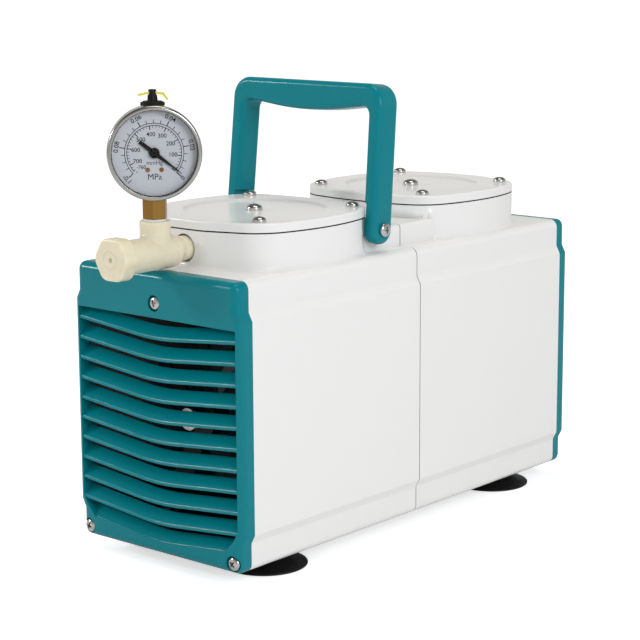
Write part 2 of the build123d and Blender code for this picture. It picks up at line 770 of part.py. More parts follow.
def inletCap():
    x1 = tee_run_end - cap_gap
    x0 = x1 - cap_len
    hexagon = RegularPolygon(cap_af / 2, 6, major_radius=False)
    cap = Pos(x0, 0, port_z) * Rot(0, 90, 0) * extrude(fillet(hexagon.vertices(), 2.0), amount=cap_len)
    rims = [e for e in cap.edges() if abs(e.center().X - x0) < 0.01 or abs(e.center().X - x1) < 0.01]
    cap = chamfer(rims, 0.8)
    cap = cap - rodX(x1 - spigot_len - 0.3, x1 + 1, 0, port_z, spigot_r + spigot_play)
    ring = rodX(x0 - 1, x0 + 0.6, 0, port_z, 5.5) - rodX(x0 - 2, x0 + 2, 0, port_z, 4.2)
    return cap - ring - rodX(x0 - 1, x0 + 2.0, 0, port_z, 1.4)


def stemSeal():
    z0 = tee_branch_top
    ring = rodZ(tee_x, 0, z0, z0 + seal_t, 6.6)
    return ring - rodZ(tee_x, 0, z0 - 1, z0 + 3, stem_thread_r)


def gaugePlace(shape):
    """Gauge parts are built about Z, face up and twelve o'clock towards +Y, then stood up."""
    return Pos(tee_x, 0, gauge_z) * Rot(0, 0, gauge_az) * Rot(90, 0, 0) * shape


def gaugeStem():
    z0 = tee_branch_top + seal_t
    z1 = gauge_z - gauge_case_r + 3.0
    hexagon = RegularPolygon(stem_af / 2, 6, major_radius=False)
    part = Pos(tee_x, 0, z0) * Rot(0, 0, gauge_az + 18) * extrude(hexagon, amount=z1 - z0)
    part = part + rodZ(tee_x, 0, z0 - stem_thread_l, z0 + 1, stem_thread_r)
    return part - rodZ(tee_x, 0, z0 - stem_thread_l - 1, z1 - 4, stem_bore_r)


def gaugeCase():
    cup = turned([(0, gauge_back), (gauge_case_r - 1.5, gauge_back), (gauge_case_r, gauge_back + 1.5),
                  (gauge_case_r, gauge_front - 3), (gauge_case_r - gauge_wall, gauge_front - 3),
                  (gauge_case_r - gauge_wall, gauge_back + gauge_wall), (0, gauge_back + gauge_wall)])
    cup = gaugePlace(cup)
    cup = cup - gaugeStemRoom()
    cup = cup - rodZ(tee_x, 0, gauge_z + 15, gauge_z + 30, 2.6)
    return cup


def gaugeStemRoom():
    z1 = gauge_z - gauge_case_r + 3.0
    hexagon = RegularPolygon(stem_af / 2 + 0.02, 6, major_radius=False)
    return Pos(tee_x, 0, z1 - 12) * Rot(0, 0, gauge_az + 18) * extrude(hexagon, amount=12.05)


def gaugeBezel():
    r = gauge_r
    ring = turned([(gauge_case_r + 0.02, bezel_back), (r - 0.3, bezel_back), (r, bezel_back + 0.6),
                   (r, gauge_front - 1.6), (r - 1.4, gauge_front), (r - bezel_lip, gauge_front),
                   (r - bezel_lip - 0.5, gauge_front - 0.8), (r - bezel_lip - 0.5, gauge_front - 1.0),
                   (gauge_case_r + 0.02, gauge_front - 1.6)])
    return gaugePlace(ring)


def gaugeDial():
    dial = rodZ(0, 0, dial_at, dial_at + dial_t, dial_r - 0.05) - rodZ(0, 0, dial_at - 1, dial_at + 2, 1.2)
    return gaugePlace(dial)


def gaugeLens():
    lens = rodZ(0, 0, lens_at, lens_at + lens_t, dial_r - 0.3)
    return gaugePlace(lens)


def gaugeNeedle():
    blade = make_face(Polyline((needle_tip, 0), (0, 1.15), (-needle_tail, 0.9), (-needle_tail, -0.9),
                               (0, -1.15), close=True))
    needle = extrude(blade, amount=needle_t)
    needle = needle + rodZ(0, 0, -0.3, 1.3, 2.5)
    needle = needle + rodZ(0, 0, -6.0, 0, 1.1)
    needle = Rot(0, 0, needle_start_deg) * needle
    return gaugePlace(Pos(0, 0, needle_at) * needle)


def ventPlug():
    z = gauge_z + gauge_r
    plug = turned([(0, 0 - 6), (2.4, -6), (2.4, -0.8), (6.8, -0.8), (6.8, 0.8), (5.2, 1.6), (2.9, 1.8), (2.3, 7.4),
                   (1.8, 8.0), (0, 8.0)])
    slot = Rot(0, 0, gauge_az) * box(-6, 6, -tab_half, tab_half, tab_lift + 0.6, tab_lift + 2.4)
    return Pos(tee_x, 0, z) * (plug - slot)


def ventTab():
    z = gauge_z + gauge_r + tab_lift
    face = make_face(Polyline((-7.8, 0.0), (-3.2, 1.0), (3.2, 1.0), (5.4, 0.6), (7.8, -2.4), (8.8, -1.8),
                              (6.2, 1.8), (3.2, 2.0), (-3.2, 2.0), (-7.8, 1.0), close=True))
    tab = Rot(90, 0, 0) * extrude(face, amount=tab_half - 0.05, both=True)
    return Pos(tee_x, 0, z) * Rot(0, 0, gauge_az) * tab


def transferTube():
    half = head_x - seat_r
    tube = rodX(-half, half, 0, duct_z, duct_r)
    return tube - rodX(-half - 1, half + 1, 0, duct_z, duct_bore_r)


def outletFitting():
    u0 = head_x + seat_r - plate_play - 10.5
    face = head_x + head_port_flat
    part = rodX(u0, face - 3, 0, port_z, port_thread_r)
    part = part + rodX(face - 4, face + 2, 0, port_z, tee_tube_r)
    hexagon = RegularPolygon(8.5, 6, major_radius=False)
    part = part + Pos(face + 2, 0, port_z) * Rot(0, 90, 0) * extrude(hexagon, amount=7)
    tip = face + outlet_len
    part = part + rodX(face + 8, tip, 0, port_z, outlet_nozzle_r)
    r0 = outlet_nozzle_r - barb_depth
    for k in range(barb_count):
        barb = turned([(r0, 0), (outlet_nozzle_r + 1, 0), (outlet_nozzle_r + 1, barb_pitch),
                       (r0, barb_pitch), (outlet_nozzle_r, 0.6)])
        part = part - Pos(tip - barb_pitch * (k + 1), 0, port_z) * Rot(0, 90, 0) * barb
    return part - rodX(u0 - 1, face + 60, 0, port_z, outlet_bore_r)


def powerSwitch():
    y1 = half_width_mid
    body = box(switch_x - switch_w / 2 + 0.2, switch_x + switch_w / 2 - 0.2, y1 - switch_depth, y1,
               switch_z - switch_h / 2 + 0.2, switch_z + switch_h / 2 - 0.2)
    flange = box(switch_x - switch_w / 2 - 2, switch_x + switch_w / 2 + 2, y1, y1 + switch_flange,
                 switch_z - switch_h / 2 - 2, switch_z + switch_h / 2 + 2)
    flange = fillet(flange.edges().filter_by(Axis.Y), 1.5)
    well = box(switch_x - switch_w / 2 + 1.6, switch_x + switch_w / 2 - 1.6, y1 - 7.0, y1 + 5,
               switch_z - switch_h / 2 + 1.6, switch_z + switch_h / 2 - 1.6)
    return body + flange - well


def switchRocker():
    y1 = half_width_mid + switch_flange
    w = switch_w / 2 - 2.4
    face = make_face(Polyline((-w, 1.9), (0, 0.2), (w, 0.4), (w, -2.4), (0, -4.8), (-w, -2.4), close=True))
    rocker = extrude(face, amount=switch_h / 2 - 2.1, both=True)
    return Pos(switch_x, y1, switch_z) * rocker


def cableGland():
    y1 = half_width_mid
    part = rodY(gland_x, 56, y1 + 1, gland_z, gland_r - 2.02)
    hexagon = RegularPolygon(gland_r + 1, 6, major_radius=False)
    nut = Pos(gland_x, y1, gland_z) * Rot(-90, 0, 0) * extrude(hexagon, amount=5)
    dome = Pos(gland_x, y1 + 5, gland_z) * Rot(-90, 0, 0) * turned(
        [(0, 0), (gland_r - 0.4, 0), (gland_r - 0.4, 5), (gland_r - 3, 8), (0, 8)])
    gland = part + nut + dome - rodY(gland_x, 50, y1 + 20, gland_z, gland_bore_r)
    return gland - rodY(gland_x, 50, y1 + 1, gland_z, gland_room_r)


def runCapacitor():
    z = floor_z + capacitor_r + 0.6
    can = rodX(cap_x, cap_x + capacitor_l, capacitor_y, z, capacitor_r)
    can = fillet([e for e in can.edges() if e.geom_type == GeomType.CIRCLE], 1.5)
    for y in (-5, 5):
        can = can + rodX(cap_x - 5, cap_x + 1, capacitor_y + y, z, 1.5)
    return can


def capacitorStrap():
    z = floor_z + capacitor_r + 0.6
    x0 = cap_x + 16
    outer = rodX(x0, x0 + 12, capacitor_y, z, capacitor_r + 1.2)
    outer = outer + box(x0, x0 + 12, capacitor_y, capacitor_y + capacitor_r + 10, floor_z, floor_z + 2)
    outer = outer & box(x0, x0 + 12, -inner_half_width, 20, floor_z, 90)
    return solidOf(outer - rodX(x0 - 1, x0 + 13, capacitor_y, z, capacitor_r))


def build():
    parts = {}
    for name in ("left", "right"):
        parts["housing_" + name] = housing(name)
        parts["grille_cover_" + name] = grilleCover(name)
        parts["head_cover_" + name] = headCover(name)
        parts["head_gasket_" + name] = headGasket(name)
        parts["valve_plate_" + name] = valvePlate(name)
        parts["valve_flaps_" + name] = valveFlaps(name)
        parts["diaphragm_" + name] = diaphragm(name)
        parts["clamp_disc_" + name] = clampDisc(name)
        parts["clamp_screw_" + name] = clampScrew(name)
        parts["conrod_" + name] = conrod(name)
        parts["crank_bearing_" + name] = crankBearing(name)
        parts["eccentric_" + name] = eccentric(name)
        parts["stator_winding_" + name] = statorWinding(name)
        parts["shaft_bearing_" + name] = shaftBearing(name)
        parts["fan_" + name] = fan(name)
    parts["grille_screws"] = grilleScrews()
    parts["head_screws"] = headScrews()
    parts["centre_screws"] = centreScrews()
    parts["motor_shaft"] = motorShaft()
    parts["rotor_core"] = rotorCore()
    parts["stator_core"] = statorCore()
    parts["suction_feet"] = suctionFeet()
    parts["foot_screws"] = footScrews()
    parts["handle"] = handle()
    parts["handle_pivot_screws"] = pivotScrews()
    parts["handle_washers"] = pivotWashers()
    parts["inlet_tee"] = inletTee()
    parts["inlet_cap"] = inletCap()
    parts["stem_seal"] = stemSeal()
    parts["gauge_stem"] = gaugeStem()
    parts["gauge_case"] = gaugeCase()
    parts["gauge_bezel"] = gaugeBezel()
    parts["gauge_dial"] = gaugeDial()
    parts["gauge_lens"] = gaugeLens()
    parts["gauge_needle"] = gaugeNeedle()
    parts["gauge_vent_plug"] = ventPlug()
    parts["gauge_vent_tab"] = ventTab()
    parts["transfer_tube"] = transferTube()
    parts["outlet_fitting"] = outletFitting()
    parts["power_switch"] = powerSwitch()
    parts["switch_rocker"] = switchRocker()
    parts["cable_gland"] = cableGland()
    parts["run_capacitor"] = runCapacitor()
    parts["capacitor_strap"] = capacitorStrap()
    return parts


os.makedirs("parts", exist_ok=True)
for node, shape in build().items():
    export_step(shape, "parts/" + node + ".step")
    print(node, len(shape.solids()), "solids,", round(shape.volume / 1000, 2), "cm3")
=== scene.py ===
import bpy
import json
from math import cos, pi, radians, sin
from mathutils import Matrix, Vector


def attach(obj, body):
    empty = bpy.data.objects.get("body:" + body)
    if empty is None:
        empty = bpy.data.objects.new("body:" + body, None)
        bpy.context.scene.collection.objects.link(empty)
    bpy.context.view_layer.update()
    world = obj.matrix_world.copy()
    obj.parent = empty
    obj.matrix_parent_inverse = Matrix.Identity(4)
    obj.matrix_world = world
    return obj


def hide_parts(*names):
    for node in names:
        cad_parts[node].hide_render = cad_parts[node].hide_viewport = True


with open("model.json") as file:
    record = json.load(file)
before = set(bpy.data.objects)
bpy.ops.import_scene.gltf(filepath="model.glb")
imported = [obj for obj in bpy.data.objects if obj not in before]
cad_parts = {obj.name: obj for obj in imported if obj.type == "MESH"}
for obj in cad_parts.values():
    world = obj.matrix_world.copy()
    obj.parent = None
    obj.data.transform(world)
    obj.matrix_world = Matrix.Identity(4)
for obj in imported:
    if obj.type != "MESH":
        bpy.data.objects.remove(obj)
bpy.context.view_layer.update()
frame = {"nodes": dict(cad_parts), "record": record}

nodes = frame["nodes"]
record = frame["record"]
bodyOfNode = {node: body for body, members in record["behaviour"]["bodies"].items() for node in members}
slotOfNode = {part["node"]: part["material_slot"] for part in record["subparts"]}
mm = 0.001
print("frame:", len(nodes), "nodes")

# sizes shared by several pieces, in mm
pump = {
    "castingEnd": 150.0, "halfLow": 63.4, "halfMid": 66.1, "bottom": 9.0, "top": 174.0,
    "stepLow": 25.8, "stepHigh": 152.0, "stepRise": 5.0,
    "headX": 75.0, "coverTop": 201.0, "recess": 1.2, "portZ": 184.5,
    "teeX": -157.3, "gaugeZ": 241.5, "gaugeTurn": -42.0, "pivotX": -28.0, "pivotZ": 188.0,
}


def linear(hexCode):
    out = []
    for k in (1, 3, 5):
        c = int(hexCode[k:k + 2], 16) / 255
        out.append(c / 12.92 if c <= 0.04045 else ((c + 0.055) / 1.055) ** 2.4)
    return (out[0], out[1], out[2], 1.0)


def addNode(tree, kind, settings=None, links=None):
    node = tree.nodes.new(kind)
    for key, value in (settings or {}).items():
        if hasattr(node, str(key)):
            setattr(node, key, value)
        else:
            node.inputs[key].default_value = value
    for key, source in (links or {}).items():
        tree.links.new(source, node.inputs[key])
    return node


def newMaterial(name):
    material = bpy.data.materials.new(name)
    material.use_nodes = True
    material.node_tree.nodes.clear()
    return material, material.node_tree


def closeMaterial(tree, shader):
    addNode(tree, "ShaderNodeOutputMaterial", links={"Surface": shader.outputs[0]})


def deselectAll():
    if bpy.context.object and bpy.context.object.mode != "OBJECT":
        bpy.ops.object.mode_set(mode="OBJECT")
    bpy.ops.object.select_all(action="DESELECT")


def alone(obj):
    deselectAll()
    obj.select_set(True)
    bpy.context.view_layer.objects.active = obj


def toObject():
    bpy.ops.object.mode_set(mode="OBJECT")


def editAll(obj):
    alone(obj)
    bpy.ops.object.mode_set(mode="EDIT")
    bpy.ops.mesh.select_all(action="SELECT")


def pick(obj, test, kind="FACE"):
    # goes to edit mode with only the parts selected whose middle (mm) and direction pass the test
    alone(obj)
    bpy.ops.object.mode_set(mode="EDIT")
    bpy.ops.mesh.select_mode(type=kind)
    bpy.ops.mesh.select_all(action="DESELECT")
    bpy.ops.object.mode_set(mode="OBJECT")
    mesh = obj.data
    if kind == "FACE":
        for face in mesh.polygons:
            face.select = test(face.center / mm, face.normal)
    elif kind == "EDGE":
        for edge in mesh.edges:
            a = mesh.vertices[edge.vertices[0]].co / mm
            b = mesh.vertices[edge.vertices[1]].co / mm
            edge.select = test((a + b) / 2, (b - a).normalized())
    else:
        for vert in mesh.vertices:
            vert.select = test(vert.co / mm, vert.normal)
    bpy.ops.object.mode_set(mode="EDIT")


def extrudeBy(dx, dy, dz):
    bpy.ops.mesh.extrude_region_move(TRANSFORM_OT_translate={"value": (dx * mm, dy * mm, dz * mm)})


def moveBy(dx, dy, dz):
    bpy.ops.transform.translate(value=(dx * mm, dy * mm, dz * mm))


def bevelBy(width, segments=3):
    bpy.ops.mesh.bevel(offset=width * mm, segments=segments, affect="EDGES", profile=0.5)


def blockAt(name, low, high):
    size = [(b - a) * mm for a, b in zip(low, high)]
    middle = [(a + b) / 2 * mm for a, b in zip(low, high)]
    deselectAll()
    bpy.ops.mesh.primitive_cube_add(size=1, location=middle)
    obj = bpy.context.object
    obj.name = name
    obj.scale = size
    bpy.ops.object.transform_apply(location=True, rotation=False, scale=True)
    return obj


def turned(name, points, sides=96, ring=False):
    # points (radius, height) round Z; a ring has no middle and ends where it starts
    deselectAll()
    r0, z0 = points[0]
    ends = "NOTHING" if ring else "NGON"
    bpy.ops.mesh.primitive_circle_add(vertices=sides, radius=r0 * mm, fill_type=ends)
    obj = bpy.context.object
    obj.name = name
    editAll(obj)
    moveBy(0, 0, z0)
    for (ra, za), (rb, zb) in zip(points, points[1:]):
        extrudeBy(0, 0, zb - za)
        bpy.ops.transform.resize(value=(rb / ra, rb / ra, 1), center_override=(0, 0, zb * mm))
    if ring:
        bpy.ops.mesh.select_all(action="SELECT")
        bpy.ops.mesh.remove_doubles(threshold=0.0005 * mm)
    bpy.ops.mesh.select_all(action="SELECT")
    bpy.ops.mesh.normals_make_consistent(inside=False)
    toObject()
    return obj


def hexBar(name, acrossFlats, length):
    # hexagonal bar round Z, its middle at the origin
    deselectAll()
    radius = acrossFlats / 2 / cos(pi / 6)
    bpy.ops.mesh.primitive_cylinder_add(vertices=6, radius=radius * mm, depth=length * mm,
                                        end_fill_type="NGON")
    obj = bpy.context.object
    obj.name = name
    return obj


def arc(r, z, radius, start, end, steps=5):
    # points of a rounded edge for turned(), centre (r, z), angles in degrees from outwards to up
    span = [radians(start + (end - start) * k / steps) for k in range(steps + 1)]
    return [(r + radius * cos(a), z + radius * sin(a)) for a in span]


def place(obj, matrix):
    alone(obj)
    obj.matrix_world = matrix
    bpy.ops.object.transform_apply(location=True, rotation=True, scale=True)
    return obj


def at(x, y, z, turn=0.0, axis="Z"):
    return Matrix.Translation((x * mm, y * mm, z * mm)) @ Matrix.Rotation(radians(turn), 4, axis)


def copyOf(obj, name):
    twin = obj.copy()
    twin.data = obj.data.copy()
    twin.name = name
    bpy.context.scene.collection.objects.link(twin)
    return twin


def combine(obj, tool, operation="DIFFERENCE", crossing=False):
    # cuts, joins or intersects; crossing is for a piece whose faces run through each other
    alone(obj)
    step = obj.modifiers.new("combine", "BOOLEAN")
    step.operation = operation
    step.solver = "EXACT"
    step.use_self = crossing
    step.object = tool
    bpy.ops.object.modifier_apply(modifier="combine")
    bpy.data.objects.remove(tool)
    return obj


def joined(name, objects):
    alone(objects[0])
    for obj in objects:
        obj.select_set(True)
    bpy.ops.object.join()
    obj = bpy.context.object
    obj.name = name
    return obj


def smooth(obj, angle=32):
    alone(obj)
    bpy.ops.object.shade_smooth_by_angle(angle=radians(angle), keep_sharp_edges=True)


def evenNormals(obj):
    alone(obj)
    step = obj.modifiers.new("evenNormals", "WEIGHTED_NORMAL")
    step.keep_sharp = True
    bpy.ops.object.modifier_apply(modifier="evenNormals")


def finish(obj, node, material, angle=32, stands=True):
    smooth(obj, angle)
    evenNormals(obj)
    obj.data.name = obj.name
    obj.data.materials.clear()
    obj.data.materials.append(material)
    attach(obj, bodyOfNode[node])
    if stands:
        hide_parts(node)
    return obj


def mergedCopy(node, name):
    # the loose triangles of the frame's node become one skin
    obj = copyOf(nodes[node], name)
    for key in list(obj.keys()):
        del obj[key]
    obj.parent = None
    obj.matrix_world = Matrix.Identity(4)
    editAll(obj)
    bpy.ops.mesh.remove_doubles(threshold=0.001 * mm)
    # thin flat triangles would show in the shading, so flat areas become one face
    bpy.ops.mesh.dissolve_limited(angle_limit=radians(0.2))
    toObject()
    return obj


# in metres: the bumps of the orange peel, where the castings are hollow, and half the width of the painted
# shadow line at the joint between the castings
paint = {"peel": 0.0016, "insideY": 0.0622, "insideZ": 0.0915, "insideHalfZ": 0.079, "seamShadowHalf": 0.0003}
bandScale = 0.314  # a wave texture's bands lie this many metres apart at a scale of 1


def whitePaint():
    # powder-coated cast aluminium: a hard glossy white with a faint orange peel
    material, tree = newMaterial("whitePowderCoat")
    spot = addNode(tree, "ShaderNodeTexCoord")
    peel = addNode(tree, "ShaderNodeTexNoise", {"Scale": 1 / paint["peel"], "Detail": 1.0},
                   {"Vector": spot.outputs["Object"]})
    bump = addNode(tree, "ShaderNodeBump", {"Strength": 0.05, "Distance": 0.00005},
                   {"Height": peel.outputs["Fac"]})
    # inside the castings the metal is bare, and its grey is darkened as painted shade so that the gaps
    # between the louvres look dark; the joint between the castings gets the same grey as a painted shadow
    # line
    split = addNode(tree, "ShaderNodeSeparateXYZ", links={"Vector": spot.outputs["Object"]})
    wide = addNode(tree, "ShaderNodeMath", {"operation": "ABSOLUTE"}, {0: split.outputs["Y"]})
    inY = addNode(tree, "ShaderNodeMath", {"operation": "LESS_THAN", 1: paint["insideY"]},
                  {0: wide.outputs[0]})
    inZ = addNode(tree, "ShaderNodeMath",
                  {"operation": "COMPARE", 1: paint["insideZ"], 2: paint["insideHalfZ"]},
                  {0: split.outputs["Z"]})
    inside = addNode(tree, "ShaderNodeMath", {"operation": "MULTIPLY"},
                     {0: inY.outputs[0], 1: inZ.outputs[0]})
    # a thin band at the joint between the castings, a painted shadow line
    seamPaintedShadow = addNode(tree, "ShaderNodeMath", {"operation": "COMPARE", 1: 0.0, 2: paint["seamShadowHalf"]},
                   {0: split.outputs["X"]})
    bareMetalAndPaintedShade = addNode(tree, "ShaderNodeMath", {"operation": "MAXIMUM"},
                   {0: inside.outputs[0], 1: seamPaintedShadow.outputs[0]})
    colour = addNode(tree, "ShaderNodeMix", {"data_type": "RGBA"}, {"Factor": bareMetalAndPaintedShade.outputs[0]})
    colour.inputs[6].default_value = linear("#e9e9e7")
    # dark grey for the bare metal, darkened as painted shade, and for the painted shadow line at the joint
    colour.inputs[7].default_value = linear("#5f6163")
    shader = addNode(tree, "ShaderNodeBsdfPrincipled", {"Roughness": 0.18, "IOR": 1.5},
                     {"Base Color": colour.outputs[2], "Normal": bump.outputs[0]})
    closeMaterial(tree, shader)
    return material


def tealPlastic():
    # injection-moulded ABS: even deep teal with a soft gloss and flow marks 0.9 mm apart
    material, tree = newMaterial("tealMouldedAbs")
    spot = addNode(tree, "ShaderNodeTexCoord")
    flow = addNode(tree, "ShaderNodeTexNoise", {"Scale": 1 / 0.0009, "Detail": 2.0},
                   {"Vector": spot.outputs["Object"]})
    bump = addNode(tree, "ShaderNodeBump", {"Strength": 0.06, "Distance": 0.00004},
                   {"Height": flow.outputs["Fac"]})
    shader = addNode(tree, "ShaderNodeBsdfPrincipled",
                     {"Base Color": linear("#007b85"), "Roughness": 0.2, "Specular IOR Level": 0.2},
                     {"Normal": bump.outputs[0]})
    closeMaterial(tree, shader)
    return material


def stainlessSteel():
    # polished stainless steel: bright grey with fine blur in its reflections
    material, tree = newMaterial("polishedStainless")
    spot = addNode(tree, "ShaderNodeTexCoord")
    grain = addNode(tree, "ShaderNodeTexNoise", {"Scale": 1 / 0.0007, "Detail": 2.0},
                    {"Vector": spot.outputs["Object"]})
    rough = addNode(tree, "ShaderNodeMapRange", {"To Min": 0.16, "To Max": 0.3},
                    {"Value": grain.outputs["Fac"]})
    shader = addNode(tree, "ShaderNodeBsdfPrincipled", {"Base Color": linear("#aeada9"), "Metallic": 1.0},
                     {"Roughness": rough.outputs[0]})
    closeMaterial(tree, shader)
    return material


def zincSteel():
    # zinc-plated screws: duller grey with faint blotches
    material, tree = newMaterial("zincPlatedSteel")
    spot = addNode(tree, "ShaderNodeTexCoord")
    blotch = addNode(tree, "ShaderNodeTexNoise", {"Scale": 1 / 0.0015, "Detail": 3.0},
                     {"Vector": spot.outputs["Object"]})
    tone = addNode(tree, "ShaderNodeMix", {"data_type": "RGBA"}, {0: blotch.outputs["Fac"]})
    tone.inputs[6].default_value = linear("#a9a9a8")
    tone.inputs[7].default_value = linear("#d8d7d2")
    shader = addNode(tree, "ShaderNodeBsdfPrincipled", {"Metallic": 1.0, "Roughness": 0.22},
                     {"Base Color": tone.outputs[2]})
    closeMaterial(tree, shader)
    return material


def plain(name, hexCode, roughness, metallic=0.0, grain=0.0008, strength=0.1, gloss=0.5):
    # a moulded, cast or turned surface of one colour, its grain given in metres
    material, tree = newMaterial(name)
    spot = addNode(tree, "ShaderNodeTexCoord")
    noise = addNode(tree, "ShaderNodeTexNoise", {"Scale": 1 / grain, "Detail": 3.0},
                    {"Vector": spot.outputs["Object"]})
    bump = addNode(tree, "ShaderNodeBump", {"Strength": strength, "Distance": 0.00003},
                   {"Height": noise.outputs["Fac"]})
    shader = addNode(tree, "ShaderNodeBsdfPrincipled",
                     {"Base Color": linear(hexCode), "Roughness": roughness, "Metallic": metallic,
                      "Specular IOR Level": gloss},
                     {"Normal": bump.outputs[0]})
    closeMaterial(tree, shader)
    return material


def mouldedNylon():
    # natural nylon: milky cream, light enters its walls and blurs
    material, tree = newMaterial("naturalNylon")
    spot = addNode(tree, "ShaderNodeTexCoord")
    flow = addNode(tree, "ShaderNodeTexNoise", {"Scale": 1 / 0.006, "Detail": 2.0},
                   {"Vector": spot.outputs["Object"]})
    tone = addNode(tree, "ShaderNodeMix", {"data_type": "RGBA"}, {0: flow.outputs["Fac"]})
    tone.inputs[6].default_value = linear("#ded5b9")
    tone.inputs[7].default_value = linear("#ece4cb")
    shader = addNode(tree, "ShaderNodeBsdfPrincipled",
                     {"Roughness": 0.32, "IOR": 1.53, "Subsurface Weight": 0.5, "Subsurface Scale": 0.004,
                      "Subsurface Radius": (1.0, 0.8, 0.5)}, {"Base Color": tone.outputs[2]})
    closeMaterial(tree, shader)
    return material


def clearLens():
    # thin clear acrylic: see-through with a soft surface reflection, and light passes to the dial
    material, tree = newMaterial("clearAcrylic")
    clear = addNode(tree, "ShaderNodeBsdfTransparent", {"Color": (1, 1, 1, 1)})
    gloss = addNode(tree, "ShaderNodeBsdfGlossy", {"Roughness": 0.03})
    edge = addNode(tree, "ShaderNodeFresnel", {"IOR": 1.22})
    shader = addNode(tree, "ShaderNodeMixShader",
                     links={0: edge.outputs[0], 1: clear.outputs[0], 2: gloss.outputs[0]})
    closeMaterial(tree, shader)
    return material


def laminatedSteel():
    # stacked electrical steel: dark grey with fine edges 0.5 mm apart, drawn at 1 mm so that they show
    material, tree = newMaterial("laminatedSteel")
    spot = addNode(tree, "ShaderNodeTexCoord")
    sheets = addNode(tree, "ShaderNodeTexWave", {"Scale": bandScale / 0.001, "bands_direction": "X"},
                     {"Vector": spot.outputs["Object"]})
    tone = addNode(tree, "ShaderNodeMix", {"data_type": "RGBA"}, {0: sheets.outputs["Fac"]})
    tone.inputs[6].default_value = linear("#4c4e51")
    tone.inputs[7].default_value = linear("#74777a")
    shader = addNode(tree, "ShaderNodeBsdfPrincipled", {"Metallic": 1.0, "Roughness": 0.45},
                     {"Base Color": tone.outputs[2]})
    closeMaterial(tree, shader)
    return material


def copperWire():
    # enamelled copper turns laid round the shaft: warm shiny ribs
    # the wires are 0.9 mm thick, drawn at 1.8 mm so that they show
    material, tree = newMaterial("enamelledCopper")
    spot = addNode(tree, "ShaderNodeTexCoord")
    wires = addNode(tree, "ShaderNodeTexWave",
                    {"Scale": bandScale / 0.0018, "bands_direction": "X", "Distortion": 0.6},
                    {"Vector": spot.outputs["Object"]})
    bump = addNode(tree, "ShaderNodeBump", {"Strength": 0.8, "Distance": 0.0004},
                   {"Height": wires.outputs["Fac"]})
    shader = addNode(tree, "ShaderNodeBsdfPrincipled",
                     {"Base Color": linear("#9a5227"), "Metallic": 0.7, "Roughness": 0.35},
                     {"Normal": bump.outputs[0]})
    closeMaterial(tree, shader)
    return material


finishes = {
    "white_paint": whitePaint(),
    "teal_plastic": tealPlastic(),
    "stainless": stainlessSteel(),
    "screw": zincSteel(),
    # moulded rubber, dull and nearly black
    "black_rubber": plain("blackRubber", "#0c0c0c", 0.5, grain=0.0006, strength=0.3, gloss=0.25),
    "nylon": mouldedNylon(),
    "brass": plain("machinedBrass", "#94713a", 0.28, 1.0),  # turned bar, warm metal
    "white_enamel": plain("dialEnamel", "#c9ccd2", 0.5),  # coated dial sheet, cool pale grey
    "black_metal": plain("blackLacquer", "#09090a", 0.4, gloss=0.2),  # lacquered needle, no shine
    "clear_lens": clearLens(),
    # moulded polyamide with a fine spark texture, which greys its highlights
    "black_plastic": plain("blackPolyamide", "#121213", 0.45, grain=0.0005, strength=0.25, gloss=0.3),
    "yellow_plastic": plain("yellowPvc", "#e8de3c", 0.4),  # soft moulded tab, bright
    # left as cast, bare grey with a visible grain
    "bare_aluminium": plain("castAluminium", "#a3a5a6", 0.42, 1.0, grain=0.0012, strength=0.35),
    "electrical_steel": laminatedSteel(),
    "copper_winding": copperWire(),
    "bearing_steel": plain("groundSteel", "#b9babb", 0.2, 1.0),  # ground bright
    "white_plastic": plain("whitePolyacetal", "#e4e4e0", 0.35),  # moulded, waxy white
    "print": plain("dialInk", "#0a0a0b", 0.7, gloss=0.1),  # screen-printed black, flat
}
print("finishes:", len(finishes))

for nodeName, nodeObject in nodes.items():
    nodeObject.data.materials.clear()
    nodeObject.data.materials.append(finishes[slotOfNode[nodeName]])


def castings():
    for side in ("left", "right"):
        for node, name in (("housing_", "casting-"), ("head_cover_", "headCover-")):
            obj = mergedCopy(node + side, name + side)
            finish(obj, node + side, finishes["white_paint"], 28)


castings()
print("castings and head covers done")

grille = {
    "thick": 10.0, "edgeR": 4.8, "rim": 4.0, "windowTop": 147.7, "sill": 22.3, "windowStep": 29.0,
    "blades": 10, "first": 31.6, "pitch": 12.05, "droop": 6.0, "bend": 0.22, "depth": 7.2, "rise": 5.2,
    "lip": 2.5, "bladeOverlap": 0.8, "sillDrop": 2.0,
    "screwTop": 156.0, "screwLowY": 57.9, "screwLowZ": 15.0, "bore": 4.7, "boreDepth": 2.6, "shankBore": 2.3,
}
# the three screws of each cover, (y, z)
endScrewPlaces = [(0, grille["screwTop"])]
endScrewPlaces += [(side * grille["screwLowY"], grille["screwLowZ"]) for side in (1, -1)]


def sag(y, halfWidth):
    # louvres fall towards the middle in a soft V
    t = abs(y) / halfWidth
    k = grille["bend"]
    straight = grille["droop"] * (1 - t)
    if t > k:
        return -straight
    return -(grille["droop"] * (1 - k / 2) - grille["droop"] * t * t / (2 * k))


